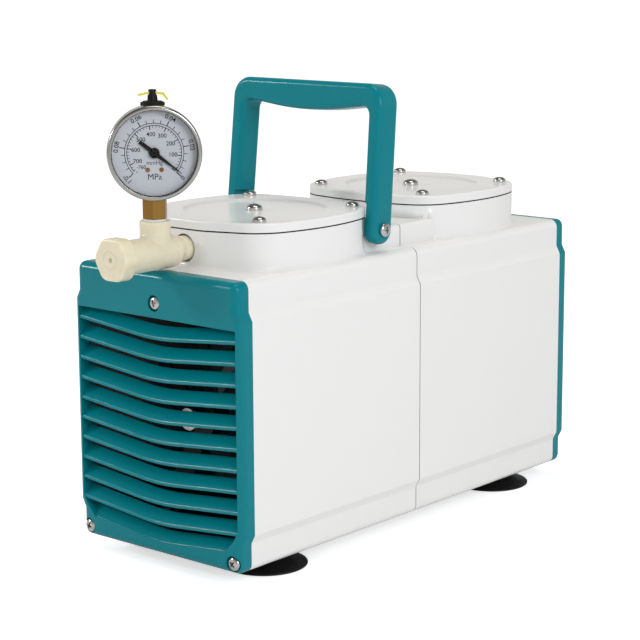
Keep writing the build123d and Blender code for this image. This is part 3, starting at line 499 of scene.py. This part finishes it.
def grilleFrame():
    x0, x1 = pump["castingEnd"], pump["castingEnd"] + grille["thick"]
    low, high, rise = pump["stepLow"], pump["stepHigh"], pump["stepRise"]
    narrow = pump["halfLow"]
    obj = blockAt("grilleFrame", (x0, -narrow, pump["bottom"]), (x1, narrow, pump["top"]))
    for z in (low, low + rise, high, high + rise):
        editAll(obj)
        bpy.ops.mesh.bisect(plane_co=(0, 0, z * mm), plane_no=(0, 0, 1))
    # between its two side steps the body is wider
    pick(obj, lambda p, n: abs(p.y) > narrow - 0.1 and low + rise - 0.1 < p.z < high + 0.1, "VERT")
    bpy.ops.transform.resize(value=(1, pump["halfMid"] / narrow, 1), center_override=(0, 0, 0))
    toObject()
    # the corners and the front edge are rounded in one go
    corner = lambda p, d: (abs(d.x) > 0.9 and abs(p.y) > 50
                           and min(p.z - pump["bottom"], pump["top"] - p.z) < 0.1)
    step = lambda p, d: abs(d.y) > 0.9 and pump["bottom"] + 6 < p.z < pump["top"] - 6
    front = lambda p, d: p.x > x1 - 0.01 and abs(d.x) < 0.1 and not step(p, d)
    pick(obj, lambda p, d: corner(p, d) or front(p, d), "EDGE")
    bevelBy(grille["edgeR"], 6)
    toObject()
    return obj


def windowTool():
    x0, x1 = pump["castingEnd"] - 2, pump["castingEnd"] + grille["thick"] + 2
    half = pump["halfMid"] - grille["rim"]
    narrow = pump["halfLow"] - grille["rim"]

    def floorAt(y):
        if abs(y) < narrow:
            return grille["sill"] + sag(y, narrow)
        return grille["windowStep"] + (pump["stepRise"] if abs(y) > narrow + 0.1 else 0)

    # the floor of the window follows the sag, so the tool is drawn out along Y in steps
    stations = [-half, -narrow - 0.01] + [narrow * (k / 9 - 1) for k in range(1, 18)] + [narrow + 0.01, half]
    start = stations[0]
    obj = blockAt("windowTool", (x0, start - 0.01, floorAt(start)), (x1, start, grille["windowTop"]))
    for a, b in zip(stations, stations[1:]):
        pick(obj, lambda p, n: n.y > 0.5 and p.y > a - 0.05)
        extrudeBy(0, b - a, 0)
        toObject()
        pick(obj, lambda p, n: abs(p.y - b) < 0.005 and p.z < 100, "VERT")
        moveBy(0, 0, floorAt(b) - floorAt(a))
        toObject()
    return obj


def blade(name, half, profile):
    # one louvre, its section drawn out along Y so that it sags to the middle
    x1 = pump["castingEnd"] + grille["thick"]
    deselectAll()
    bpy.ops.mesh.primitive_circle_add(vertices=len(profile), radius=mm, fill_type="NGON",
                                      rotation=(pi / 2, 0, 0))
    obj = bpy.context.object
    obj.name = name
    bpy.ops.object.transform_apply(location=True, rotation=True, scale=True)
    for vert, (x, z) in zip(obj.data.vertices, profile):
        vert.co = ((x1 + x) * mm, -half * mm, z * mm)
    stations = [half * (k / 14 - 1) for k in range(29)]
    editAll(obj)
    for a, b in zip(stations, stations[1:]):
        extrudeBy(0, b - a, sag(b, half) - sag(a, half))
    bpy.ops.mesh.select_all(action="SELECT")
    bpy.ops.mesh.normals_make_consistent(inside=False)
    toObject()
    return obj


def bladeProfile():
    # (x, z) from the front face: an upright lip with a soft crease above, then a thin wall that rises inwards
    deep = -grille["depth"]
    lip = grille["lip"]
    high = lip + grille["rise"]
    front = [(-1.6, 0.05), (-1.0, 0.2), (-0.68, 0.55), (-0.6, 0.9), (-0.6, lip - 1.2)]
    crease = [(-0.64, lip - 0.85), (-0.76, lip - 0.5), (-0.97, lip - 0.2), (-1.25, lip + 0.05)]
    return front + crease + [(deep, high), (deep - 1.0, high - 1.2), (-2.6, 0.35)]


def grilles():
    frameObj = grilleFrame()
    combine(frameObj, windowTool())
    x1 = pump["castingEnd"] + grille["thick"]
    shank, r, deep = grille["shankBore"], grille["bore"], -grille["boreDepth"]
    for y, z in endScrewPlaces:
        bore = turned("bore", [(shank, -20), (shank, deep), (r - 0.3, deep), (r, deep + 0.3), (r, 3)], 48)
        place(bore, at(x1, y, z, 90, "Y"))
        combine(frameObj, bore)
    blades = []
    first = blade("louvre", pump["halfMid"] - grille["rim"] + grille["bladeOverlap"], bladeProfile())
    for k in range(grille["blades"]):
        one = copyOf(first, "louvre%02d" % k)
        blades.append(place(one, at(0, 0, grille["first"] + grille["pitch"] * k)))
    sill = blade("louvreSill", pump["halfLow"] - grille["rim"] + grille["bladeOverlap"], bladeProfile())
    blades.append(place(sill, at(0, 0, grille["sill"] - grille["sillDrop"])))
    bpy.data.objects.remove(first)
    right = joined("grille-right", [frameObj] + blades)
    left = copyOf(right, "grille-left")
    place(left, at(0, 0, 0, 180, "Z"))
    for side, obj in (("left", left), ("right", right)):
        finish(obj, "grille_cover_" + side, finishes["teal_plastic"], 34)


grilles()
print("grilles done")

# radius and height of each head and radius of its shank
screws = {
    "m4": (4.0, 3.1, 2.0), "m5": (4.9, 3.7, 2.5), "pivot": (4.1, 2.6, 2.5),
    "length": 8.0, "spread": 41.0, "pivotY": 60.25,
}


def panScrew(name, r, h, shank):
    # domed pan head with a cross recess, head on Z = 0
    base = [(shank, -screws["length"]), (shank, 0), (r * 0.97, 0), (r, h * 0.12)]
    dome = [(r * cos(radians(a)), h * 0.35 + h * 0.65 * sin(radians(a))) for a in range(0, 89, 11)]
    obj = turned(name, base + dome + [(r * 0.02, h)], 40)
    for turn in (0, 90):
        slot = blockAt("slot", (-r * 0.56, -r * 0.15, h * 0.3), (r * 0.56, r * 0.15, h * 1.2))
        pick(slot, lambda p, n: n.z < -0.5)
        bpy.ops.transform.resize(value=(0.55, 0.7, 1), center_override=(0, 0, 0))
        toObject()
        combine(obj, place(slot, at(0, 0, 0, turn)))
    return obj


def allScrews():
    m4 = panScrew("m4", *screws["m4"])
    m5 = panScrew("m5", *screws["m5"])
    s = screws["spread"]
    corners = []
    centres = []
    # each recess stands at its own angle, as after tightening
    for side in (-1, 1):
        x = side * pump["headX"]
        for a in (-1, 1):
            for b in (-1, 1):
                where = at(x + a * s, b * s, pump["coverTop"], 25 + 30 * a + 17 * b)
                corners.append(place(copyOf(m4, "headScrew"), where))
        where = at(x, 0, pump["coverTop"] - pump["recess"], 20 * side)
        centres.append(place(copyOf(m5, "centreScrew"), where))
    finish(joined("headScrews", corners), "head_screws", finishes["screw"])
    finish(joined("centreScrews", centres), "centre_screws", finishes["screw"])
    ends = []
    x = pump["castingEnd"] + grille["thick"] - grille["boreDepth"]
    for side in (-1, 1):
        for y, z in endScrewPlaces:
            where = (at(side * x, y, z) @ Matrix.Rotation(radians(90 * side), 4, "Y")
                     @ Matrix.Rotation(radians(15 + y), 4, "Z"))
            ends.append(place(copyOf(m4, "endScrew"), where))
    finish(joined("endScrews", ends), "grille_screws", finishes["screw"])
    pivots = []
    for side in (-1, 1):
        one = panScrew("pivotScrew", *screws["pivot"])
        where = at(pump["pivotX"], side * screws["pivotY"], pump["pivotZ"], -90 * side, "X")
        pivots.append(place(one, where))
    finish(joined("pivotScrews", pivots), "handle_pivot_screws", finishes["screw"])
    bpy.data.objects.remove(m4)
    bpy.data.objects.remove(m5)


allScrews()
print("screws done")

handle = {
    "inner": 50.5, "outer": 59.9, "width": 18.0, "splay": 1.2, "high": 85.0, "bar": 13.0, "drop": 4.6,
    "flatHalf": 14.0, "outerR": 12.0, "innerR": 6.0, "edgeR": 3.3, "gripR": 12.0, "lean": 5.5,
    "notchDeep": 2.4, "bossR": 6.9,
}


def carryHandle():
    # one leg, then the grip in steps along Y, then the other leg, drawn round the pivot at the origin
    h = handle
    under = h["high"] - h["bar"]
    half = h["width"] / 2
    obj = blockAt("carryHandle", (-half, h["inner"], -half), (half, h["outer"], under))
    pick(obj, lambda p, n: n.z > 0.5)
    moveBy(0, -h["splay"], 0)
    extrudeBy(0, 0, h["bar"])
    toObject()
    pick(obj, lambda p, n: n.y < -0.5 and p.z > under)
    y = h["inner"] - h["splay"]
    stops = [(h["flatHalf"], -h["drop"]), (-h["flatHalf"], 0), (-y, h["drop"]),
             (-y - h["outer"] + h["inner"], 0)]
    here = y
    for target, dz in stops:
        extrudeBy(0, target - here, 0)
        toObject()
        pick(obj, lambda p, n: abs(p.y - target) < 1.0 and p.z < h["high"] - 1 and p.z > 10, "VERT")
        moveBy(0, 0, dz)
        toObject()
        pick(obj, lambda p, n: n.y < -0.5 and p.y < target + 1)
        here = target
    toObject()
    pick(obj, lambda p, n: n.z < -0.5 and p.y < -h["inner"] + h["splay"] - 0.5 and p.z > 20)
    extrudeBy(0, -h["splay"], -under - half)
    bpy.ops.mesh.select_all(action="SELECT")
    bpy.ops.mesh.dissolve_limited(angle_limit=radians(0.5))
    toObject()
    pick(obj, lambda p, d: abs(d.x) > 0.9 and p.z > h["high"] - 0.1 and abs(p.y) > 50, "EDGE")
    bevelBy(h["outerR"], 8)
    toObject()
    pick(obj, lambda p, d: abs(d.x) > 0.9 and abs(p.z - under) < 0.3 and 40 < abs(p.y) < 50, "EDGE")
    bevelBy(h["innerR"], 6)
    toObject()
    pick(obj, lambda p, d: abs(d.x) > 0.9 and abs(p.y) < h["flatHalf"] + 1 and 20 < p.z < under - 2, "EDGE")
    bevelBy(h["gripR"], 6)
    toObject()
    pick(obj, lambda p, d: abs(d.y) > 0.9 and abs(p.z + half) < 0.1, "EDGE")
    bevelBy(half - 0.5, 10)
    toObject()
    alone(obj)
    bpy.ops.object.mode_set(mode="EDIT")
    bpy.ops.mesh.select_mode(type="EDGE")
    bpy.ops.mesh.select_all(action="DESELECT")
    bpy.ops.mesh.edges_select_sharp(sharpness=radians(60))
    bevelBy(h["edgeR"], 5)
    toObject()
    # a notch inside each leg clears the head, and a round boss stays at the pivot
    for side in (-1, 1):
        y0, y1 = sorted((side * (h["inner"] - 1), side * (h["inner"] + h["notchDeep"])))
        notch = blockAt("notch", (-20, y0, -3.0), (1.5, y1, 15.0))
        keep = turned("keep", [(h["bossR"], -5), (h["bossR"], 5)], 64)
        combine(notch, place(keep, at(0, side * (h["inner"] + 0.5), 0, 90, "X")))
        combine(obj, notch, crossing=True)
    place(obj, at(pump["pivotX"], 0, pump["pivotZ"], h["lean"], "Y"))
    finish(obj, "handle", finishes["teal_plastic"], 30)


carryHandle()
print("handle done")

tee = {
    "runR": 9.6, "tubeR": 7.1, "branchR": 8.8, "branchTop": 203.0, "runEnd": -182.0, "neckX": -145.0,
    "boreR": 4.0, "wellR": 4.9, "spigotR": 7.0, "spigotLong": 6.0, "seatR": 6.5, "seatLong": 10.5,
    "headHalf": 48.0, "grid": 0.42, "capAf": 23.5, "capLong": 10.0, "capGap": 0.4, "capCornerR": 3.4,
    "capEdgeR": 1.5,
}


def inletTee():
    t = tee
    z = pump["portZ"]
    length = t["neckX"] - t["runEnd"]
    face = -pump["headX"] - t["headHalf"] - t["runEnd"]  # the head's face, from the run's end
    points = [(t["spigotR"], -t["spigotLong"]), (t["spigotR"], 0), (t["runR"] - 0.8, 0)]
    points = points + arc(t["runR"] - 0.8, 0.8, 0.8, -90, 0, 4)
    points = points + [(t["runR"], length), (t["runR"] - 0.5, length + 1.2), (t["tubeR"] + 0.4, length + 4.2),
                       (t["tubeR"], length + 5.4), (t["tubeR"], face - 1), (t["seatR"], face - 1),
                       (t["seatR"], face + t["seatLong"])]
    obj = turned("inletTee", points, 96)
    place(obj, at(t["runEnd"], 0, z, 90, "Y"))
    rise = t["branchTop"] - z
    top = [(t["branchR"], 0), (t["branchR"], rise - 0.8)] + arc(t["branchR"] - 0.8, rise - 0.8, 0.8, 0, 90, 4)
    branch = turned("branch", top, 96)
    place(branch, at(pump["teeX"], 0, z))
    combine(obj, branch, "UNION")
    # an even grid of faces, so that the joint can be smoothed
    grid = obj.modifiers.new("grid", "REMESH")
    grid.mode = "VOXEL"
    grid.voxel_size = t["grid"] * mm
    bpy.ops.object.modifier_apply(modifier="grid")
    # the mould blends the branch into the run
    x = pump["teeX"]
    near = lambda p, n: abs(p.x - x) < t["branchR"] + 5 and z + 2 < p.z < z + t["runR"] + 4.5
    pick(obj, near, "VERT")
    bpy.ops.mesh.vertices_smooth(factor=0.5, repeat=45)
    toObject()
    pick(obj, lambda p, n: t["neckX"] - 2 < p.x < t["neckX"] + 8, "VERT")
    bpy.ops.mesh.vertices_smooth(factor=0.5, repeat=30)
    bpy.ops.mesh.select_all(action="SELECT")
    bpy.ops.mesh.vertices_smooth(factor=0.5, repeat=3)
    toObject()
    bore = turned("bore", [(t["boreR"], -t["spigotLong"] - 2), (t["boreR"], face + 12)], 48)
    combine(obj, place(bore, at(t["runEnd"], 0, z, 90, "Y")))
    well = turned("well", [(t["wellR"], 3), (t["wellR"], rise + 2)], 48)
    combine(obj, place(well, at(x, 0, z)))
    finish(obj, "inlet_tee", finishes["nylon"], 50)


def inletCap():
    t = tee
    half = t["capLong"] / 2
    obj = hexBar("inletCap", t["capAf"], t["capLong"])
    pick(obj, lambda p, d: abs(d.z) > 0.9, "EDGE")
    bevelBy(t["capCornerR"], 5)
    pick(obj, lambda p, d: abs(abs(p.z) - half) < 0.01, "EDGE")
    bevelBy(t["capEdgeR"], 4)
    toObject()
    r = t["spigotR"] + 0.05
    combine(obj, turned("hollow", [(r, -half - 1), (r, -half + t["spigotLong"] + 0.3)], 64))
    # a shallow ring and the moulding's gate mark on the face
    ring = [(4.3, half - 0.25), (4.1, half + 1), (5.8, half + 1), (5.4, half - 0.25), (4.3, half - 0.25)]
    combine(obj, turned("ring", ring, 64, True))
    combine(obj, turned("dimple", [(0.9, half - 1.8), (1.5, half - 0.2), (1.7, half + 1)], 32))
    place(obj, at(t["runEnd"] - t["capGap"] - half, 0, pump["portZ"], -90, "Y"))
    finish(obj, "inlet_cap", finishes["nylon"], 40)


inletTee()
inletCap()
print("tee and cap done")

gauge = {
    "stemAf": 12.6, "stemFrom": 204.0, "stemTo": 219.3, "threadR": 4.9,
    "caseR": 25.2, "wall": 1.6, "back": -12.0, "front": 14.0, "bezelR": 26.2, "bezelBack": 8.0, "lip": 2.4,
    "lensR": 23.3, "lensZ": 11.6, "lensThick": 1.6, "needleZ": 9.4, "tip": 19.0, "tail": 10.2,
    "needleTurn": -38.0, "dialZ": 8.4, "ringR": 14.9, "zeroTurn": -42.5, "stepTurn": 53.2,
    "rivetX": 3.8, "rivetY": -9.4,
}


def gaugeMatrix():
    return (at(pump["teeX"], 0, pump["gaugeZ"]) @ Matrix.Rotation(radians(pump["gaugeTurn"]), 4, "Z")
            @ Matrix.Rotation(radians(90), 4, "X"))


def gaugeBody():
    g = gauge
    r = g["caseR"]
    inside, floor = r - g["wall"], g["back"] + g["wall"]
    path = [(1, g["back"])] + arc(r - 2.4, g["back"] + 2.4, 2.4, -90, 0, 6)
    path = path + [(r, g["front"] - 3), (inside, g["front"] - 3), (inside, floor), (1, floor)]
    case = turned("gaugeCase", path, 128)
    place(case, gaugeMatrix())
    finish(case, "gauge_case", finishes["stainless"], 30)
    b = g["bezelR"]
    inner = b - g["lip"]
    path = [(r + 0.02, g["bezelBack"]), (b - 0.4, g["bezelBack"]), (b, g["bezelBack"] + 0.5)]
    path = path + arc(b - 1.5, g["front"] - 1.5, 1.5, 0, 90, 6) + [(inner + 0.5, g["front"])]
    path = path + arc(inner + 0.5, g["front"] - 0.5, 0.5, 90, 180, 3)
    path = path + [(inner - 0.4, g["front"] - 1.2), (r + 0.02, g["front"] - 1.7), (r + 0.02, g["bezelBack"])]
    bezel = turned("gaugeBezel", path, 128, True)
    place(bezel, gaugeMatrix())
    finish(bezel, "gauge_bezel", finishes["stainless"], 30)
    low, high = g["lensZ"], g["lensZ"] + g["lensThick"]
    lens = turned("gaugeLens", [(1, low), (g["lensR"], low), (g["lensR"], high), (1, high)], 96)
    place(lens, gaugeMatrix())
    finish(lens, "gauge_lens", finishes["clear_lens"], 30)


def bar(name, radius, angle, length, width):
    # a printed stroke on the dial, from radius outwards
    z = gauge["dialZ"]
    stroke = blockAt(name, (radius, -width / 2, z - 0.02), (radius + length, width / 2, z + 0.04))
    return place(stroke, Matrix.Rotation(radians(angle), 4, "Z"))


def label(words, x, y, size, bold=0.0):
    # printed words, made a mesh before they are placed
    deselectAll()
    bpy.ops.object.text_add(location=(0, 0, 0))
    obj = bpy.context.object
    obj.data.body = words
    obj.data.size = size * mm
    obj.data.align_x = "CENTER"
    obj.data.align_y = "CENTER"
    obj.data.extrude = 0.02 * mm
    obj.data.resolution_u = 4
    obj.data.offset = bold * mm
    bpy.ops.object.convert(target="MESH")
    return bpy.context.object, (x, y)


def dialPrint():
    g = gauge
    z = g["dialZ"] + 0.02
    strokes = []
    ring = g["ringR"]
    # two rings, open below where the units stand
    for radius in (ring, ring + 1.2):
        outer = radius + 0.36
        low, high = z - 0.03, z + 0.02
        path = [(radius, low), (radius, high), (outer, high), (outer, low), (radius, low)]
        circle = turned("scaleRing", path, 128, True)
        gap = place(blockAt("open", (0, 0, z - 1), (30, 30, z + 1)), at(0, 0.94, 0, -135))
        strokes.append(combine(circle, gap))
    step = g["stepTurn"]
    zero = g["zeroTurn"]
    for k in range(21):
        big = k % 4 == 0
        length, width = (3.0, 0.5) if big else (2.0, 0.34)
        strokes.append(bar("mpa", ring + 1.4, zero + step * k / 4, length, width))
    perMm = step / 150.0  # 0.02 MPa is 150 mm of mercury
    for k in range(39):
        big = k % 5 == 0
        length, width = (2.2, 0.5) if big else (1.2, 0.28)
        strokes.append(bar("mmhg", ring + 0.1 - length, zero + perMm * 20 * k, length, width))
    words = []
    for k, text in enumerate(("0", "0.02", "0.04", "0.06", "0.08", "-0.1")):
        a = radians(zero + step * k)
        spot = ((ring + 6.0) * cos(a), (ring + 6.0) * sin(a))
        words.append(label(text, *spot, 3.7, 0.03) + (zero + step * k,))
    for k in range(1, 8):
        a = radians(zero + perMm * 100 * k)
        spot = ((ring - 4.6) * cos(a), (ring - 4.6) * sin(a))
        words.append(label(str(100 * k), *spot, 3.3, 0.03) + (90,))
    a = radians(zero + perMm * 760)
    words.append(label("-760", (ring - 4.2) * cos(a), (ring - 4.2) * sin(a), 2.8, 0.02) + (90,))
    words.append(label("mmHg", 0, -5.6, 3.3) + (90,))
    words.append(label("MPa", 0, -13.4, 4.7) + (90,))
    for obj, (x, y), angle in words:
        turn = angle - 90 if -20 < angle < 200 else angle + 90  # the lowest ones are turned to read upright
        strokes.append(place(obj, at(x, y, z, turn)))
    obj = joined("dialPrint", strokes)
    place(obj, gaugeMatrix())
    finish(obj, "gauge_dial", finishes["print"], 30, stands=False)
    rivets = []
    z = g["dialZ"]
    for side in (-1, 1):
        x = side * g["rivetX"]
        pin = turned("rivet", [(1.25, z - 0.2), (1.25, z + 0.35), (1.05, z + 0.6), (0.05, z + 0.65)], 24)
        slot = blockAt("slot", (-2, -0.16, z + 0.35), (2, 0.16, z + 1))
        combine(pin, place(slot, at(0, 0, 0, 30 * x)))
        rivets.append(place(pin, at(x, g["rivetY"], 0)))
    obj = joined("dialScrews", rivets)
    place(obj, gaugeMatrix())
    finish(obj, "gauge_dial", finishes["brass"], 30, stands=False)


def needle():
    g = gauge
    z = g["needleZ"]
    obj = blockAt("gaugeNeedle", (-g["tail"], -1.25, z), (g["tip"], 1.25, z + 0.5))
    editAll(obj)
    bpy.ops.mesh.bisect(plane_co=(0, 0, 0), plane_no=(1, 0, 0))
    # tapered to a point, and less to the tail
    pick(obj, lambda p, n: p.x > g["tip"] - 0.1, "VERT")
    bpy.ops.transform.resize(value=(1, 0.1, 1), center_override=(0, 0, 0))
    pick(obj, lambda p, n: p.x < -g["tail"] + 0.1, "VERT")
    bpy.ops.transform.resize(value=(1, 0.8, 1), center_override=(0, 0, 0))
    toObject()
    # the hub has a groove round its middle pin
    path = [(2.9, z - 0.3), (2.9, z + 0.9), (2.6, z + 1.2), (2.1, z + 1.2)]
    hub = turned("hub", path + [(1.9, z + 0.8), (1.2, z + 0.8), (1.0, z + 1.2), (0.05, z + 1.3)], 40)
    post = turned("post", [(1.1, z - 6), (1.1, z)], 24)
    obj = joined("gaugeNeedle", [obj, hub, post])
    place(obj, gaugeMatrix() @ Matrix.Rotation(radians(g["needleTurn"]), 4, "Z"))
    finish(obj, "gauge_needle", finishes["black_metal"], 30)


def stem():
    g = gauge
    radius = g["stemAf"] / 2 / cos(pi / 6)
    high = g["stemTo"] - g["stemFrom"]
    obj = hexBar("gaugeStem", g["stemAf"], high)
    pick(obj, lambda p, d: abs(d.z) > 0.9, "EDGE")
    bevelBy(0.35, 2)
    toObject()
    # a cone turned on the lower end takes off its corners
    cone = [(radius - 1.1, -high / 2 - 0.01), (radius + 1, -high / 2 + 1.6), (radius + 1, high / 2)]
    combine(obj, turned("collar", cone, 64), "INTERSECT")
    thread = turned("thread", [(g["threadR"], -high / 2 - 9), (g["threadR"], -high / 2 + 1)], 48)
    obj = joined("gaugeStem", [obj, thread])
    # a hexagon corner looks to the front of the gauge
    place(obj, at(pump["teeX"], 0, (g["stemFrom"] + g["stemTo"]) / 2, pump["gaugeTurn"] + 18 + 30))
    finish(obj, "gauge_stem", finishes["brass"], 30)


gaugeBody()
dialPrint()
needle()
stem()
print("gauge done")

foot = {"x": 112.0, "y": 39.0, "rimR": 25.0, "neckR": 10.0, "cupR": 21.0, "cupHigh": 2.6, "high": 9.0}


def feet():
    # hollow below, a thin rolled rim, and a flared neck up to the body
    f = foot
    path = [(0.5, f["cupHigh"]), (f["cupR"] * 0.6, f["cupHigh"] * 0.7)]
    path = path + [(f["cupR"], 0.02), (f["rimR"] - 0.5, 0.02)]
    path = path + arc(f["rimR"] - 0.6, 0.65, 0.6, -60, 90, 5)
    path = path + [(22, 1.9), (19, 2.9), (16.5, 4.0), (14, 5.2), (12, 6.2)]
    path = path + [(f["neckR"] + 0.6, 7.2), (f["neckR"], f["high"])]
    cup = turned("foot", path, 96)
    cups = []
    for x in (-f["x"], f["x"]):
        for y in (-f["y"], f["y"]):
            cups.append(place(copyOf(cup, "foot"), at(x, y, 0)))
    bpy.data.objects.remove(cup)
    finish(joined("suctionFeet", cups), "suction_feet", finishes["black_rubber"], 40)


feet()
print("feet done")

# fill lights the object, horizon and zenith show in reflections, glow whitens the floor for the camera
room = {"size": 30.0, "fill": 0.55, "horizon": 0.65, "zenith": 0.1, "glow": 0.56}
# place and target in metres, power in watts, side of the square in metres
lamps = {
    "keyLamp": {"spot": (-0.55, -1.55, 0.85), "target": (0, 0, 0.1), "power": 12, "size": 0.8,
                "hexCode": "#f6f9ff"},
    "topLamp": {"spot": (0.1, -0.1, 1.9), "target": (0, 0, 0.15), "power": 8, "size": 0.8,
                "hexCode": "#fff3e6"},
    "rearLamp": {"spot": (-1.04, 1.17, 0.77), "target": (0, 0, 0.12), "power": 7, "size": 0.25,
                 "hexCode": "#ffffff"},
}
# lens and sensor in mm, place in metres, turn in degrees
view = {
    "lens": 110.304, "sensor": 36.0,
    "spot": (-0.92243, -0.77370, 0.35884), "turn": (78.8787, 0.2858, -49.5746),
}


def cameraRay(tree):
    # 1 for what the camera sees directly or through glass
    path = addNode(tree, "ShaderNodeLightPath")
    return addNode(tree, "ShaderNodeMath", {"operation": "MAXIMUM"},
                   {0: path.outputs["Is Camera Ray"], 1: path.outputs["Is Transmission Ray"]})


def studio():
    deselectAll()
    bpy.ops.mesh.primitive_plane_add(size=room["size"], location=(0, 0, -0.0002))
    floor = bpy.context.object
    floor.name = "floor"
    # white paper: it glows a little to the camera, so that it is white but keeps the shadow
    material, tree = newMaterial("whitePaper")
    matt = addNode(tree, "ShaderNodeBsdfDiffuse", {"Color": linear("#f0f0f0")})
    glow = addNode(tree, "ShaderNodeEmission", {"Color": (1, 1, 1, 1), "Strength": room["glow"]})
    both = addNode(tree, "ShaderNodeAddShader", links={0: matt.outputs[0], 1: glow.outputs[0]})
    white = addNode(tree, "ShaderNodeMixShader",
                    links={0: cameraRay(tree).outputs[0], 1: matt.outputs[0], 2: both.outputs[0]})
    closeMaterial(tree, white)
    floor.data.materials.append(material)
    world = bpy.data.worlds.new("studio")
    bpy.context.scene.world = world
    world.use_nodes = True
    tree = world.node_tree
    tree.nodes.clear()
    # white to the camera, softer as a light, and in reflections dark overhead
    spot = addNode(tree, "ShaderNodeTexCoord")
    split = addNode(tree, "ShaderNodeSeparateXYZ", links={"Vector": spot.outputs["Generated"]})
    sky = addNode(tree, "ShaderNodeMapRange",
                  {"From Min": 0.1, "From Max": 0.8, "To Min": room["horizon"], "To Max": room["zenith"]},
                  {"Value": split.outputs["Z"]})
    path = addNode(tree, "ShaderNodeLightPath")
    dim = addNode(tree, "ShaderNodeMapRange", {"To Min": room["fill"]},
                  {"Value": path.outputs["Is Glossy Ray"], "To Max": sky.outputs[0]})
    level = addNode(tree, "ShaderNodeMapRange", {"To Max": 1.0},
                    {"Value": cameraRay(tree).outputs[0], "To Min": dim.outputs[0]})
    back = addNode(tree, "ShaderNodeBackground", {"Color": (1, 1, 1, 1)}, {"Strength": level.outputs[0]})
    addNode(tree, "ShaderNodeOutputWorld", links={"Surface": back.outputs[0]})


def lamp(name, spot, target, power, size, hexCode):
    data = bpy.data.lights.new(name, "AREA")
    data.energy = power
    data.size = size
    data.color = linear(hexCode)[:3]
    obj = bpy.data.objects.new(name, data)
    bpy.context.scene.collection.objects.link(obj)
    obj.location = spot
    obj.rotation_euler = (Vector(target) - Vector(spot)).to_track_quat("-Z", "Y").to_euler()


def camera():
    data = bpy.data.cameras.new("camera")
    data.lens = view["lens"]
    data.sensor_width = view["sensor"]
    data.clip_start = 0.05
    data.clip_end = 20
    obj = bpy.data.objects.new("camera", data)
    bpy.context.scene.collection.objects.link(obj)
    obj.location = view["spot"]
    obj.rotation_euler = [radians(angle) for angle in view["turn"]]
    bpy.context.scene.camera = obj


studio()
for lampName, values in lamps.items():
    lamp(lampName, **values)
camera()
print("room, lamps and camera done")
bpy.context.scene.view_settings.view_transform = "Standard"
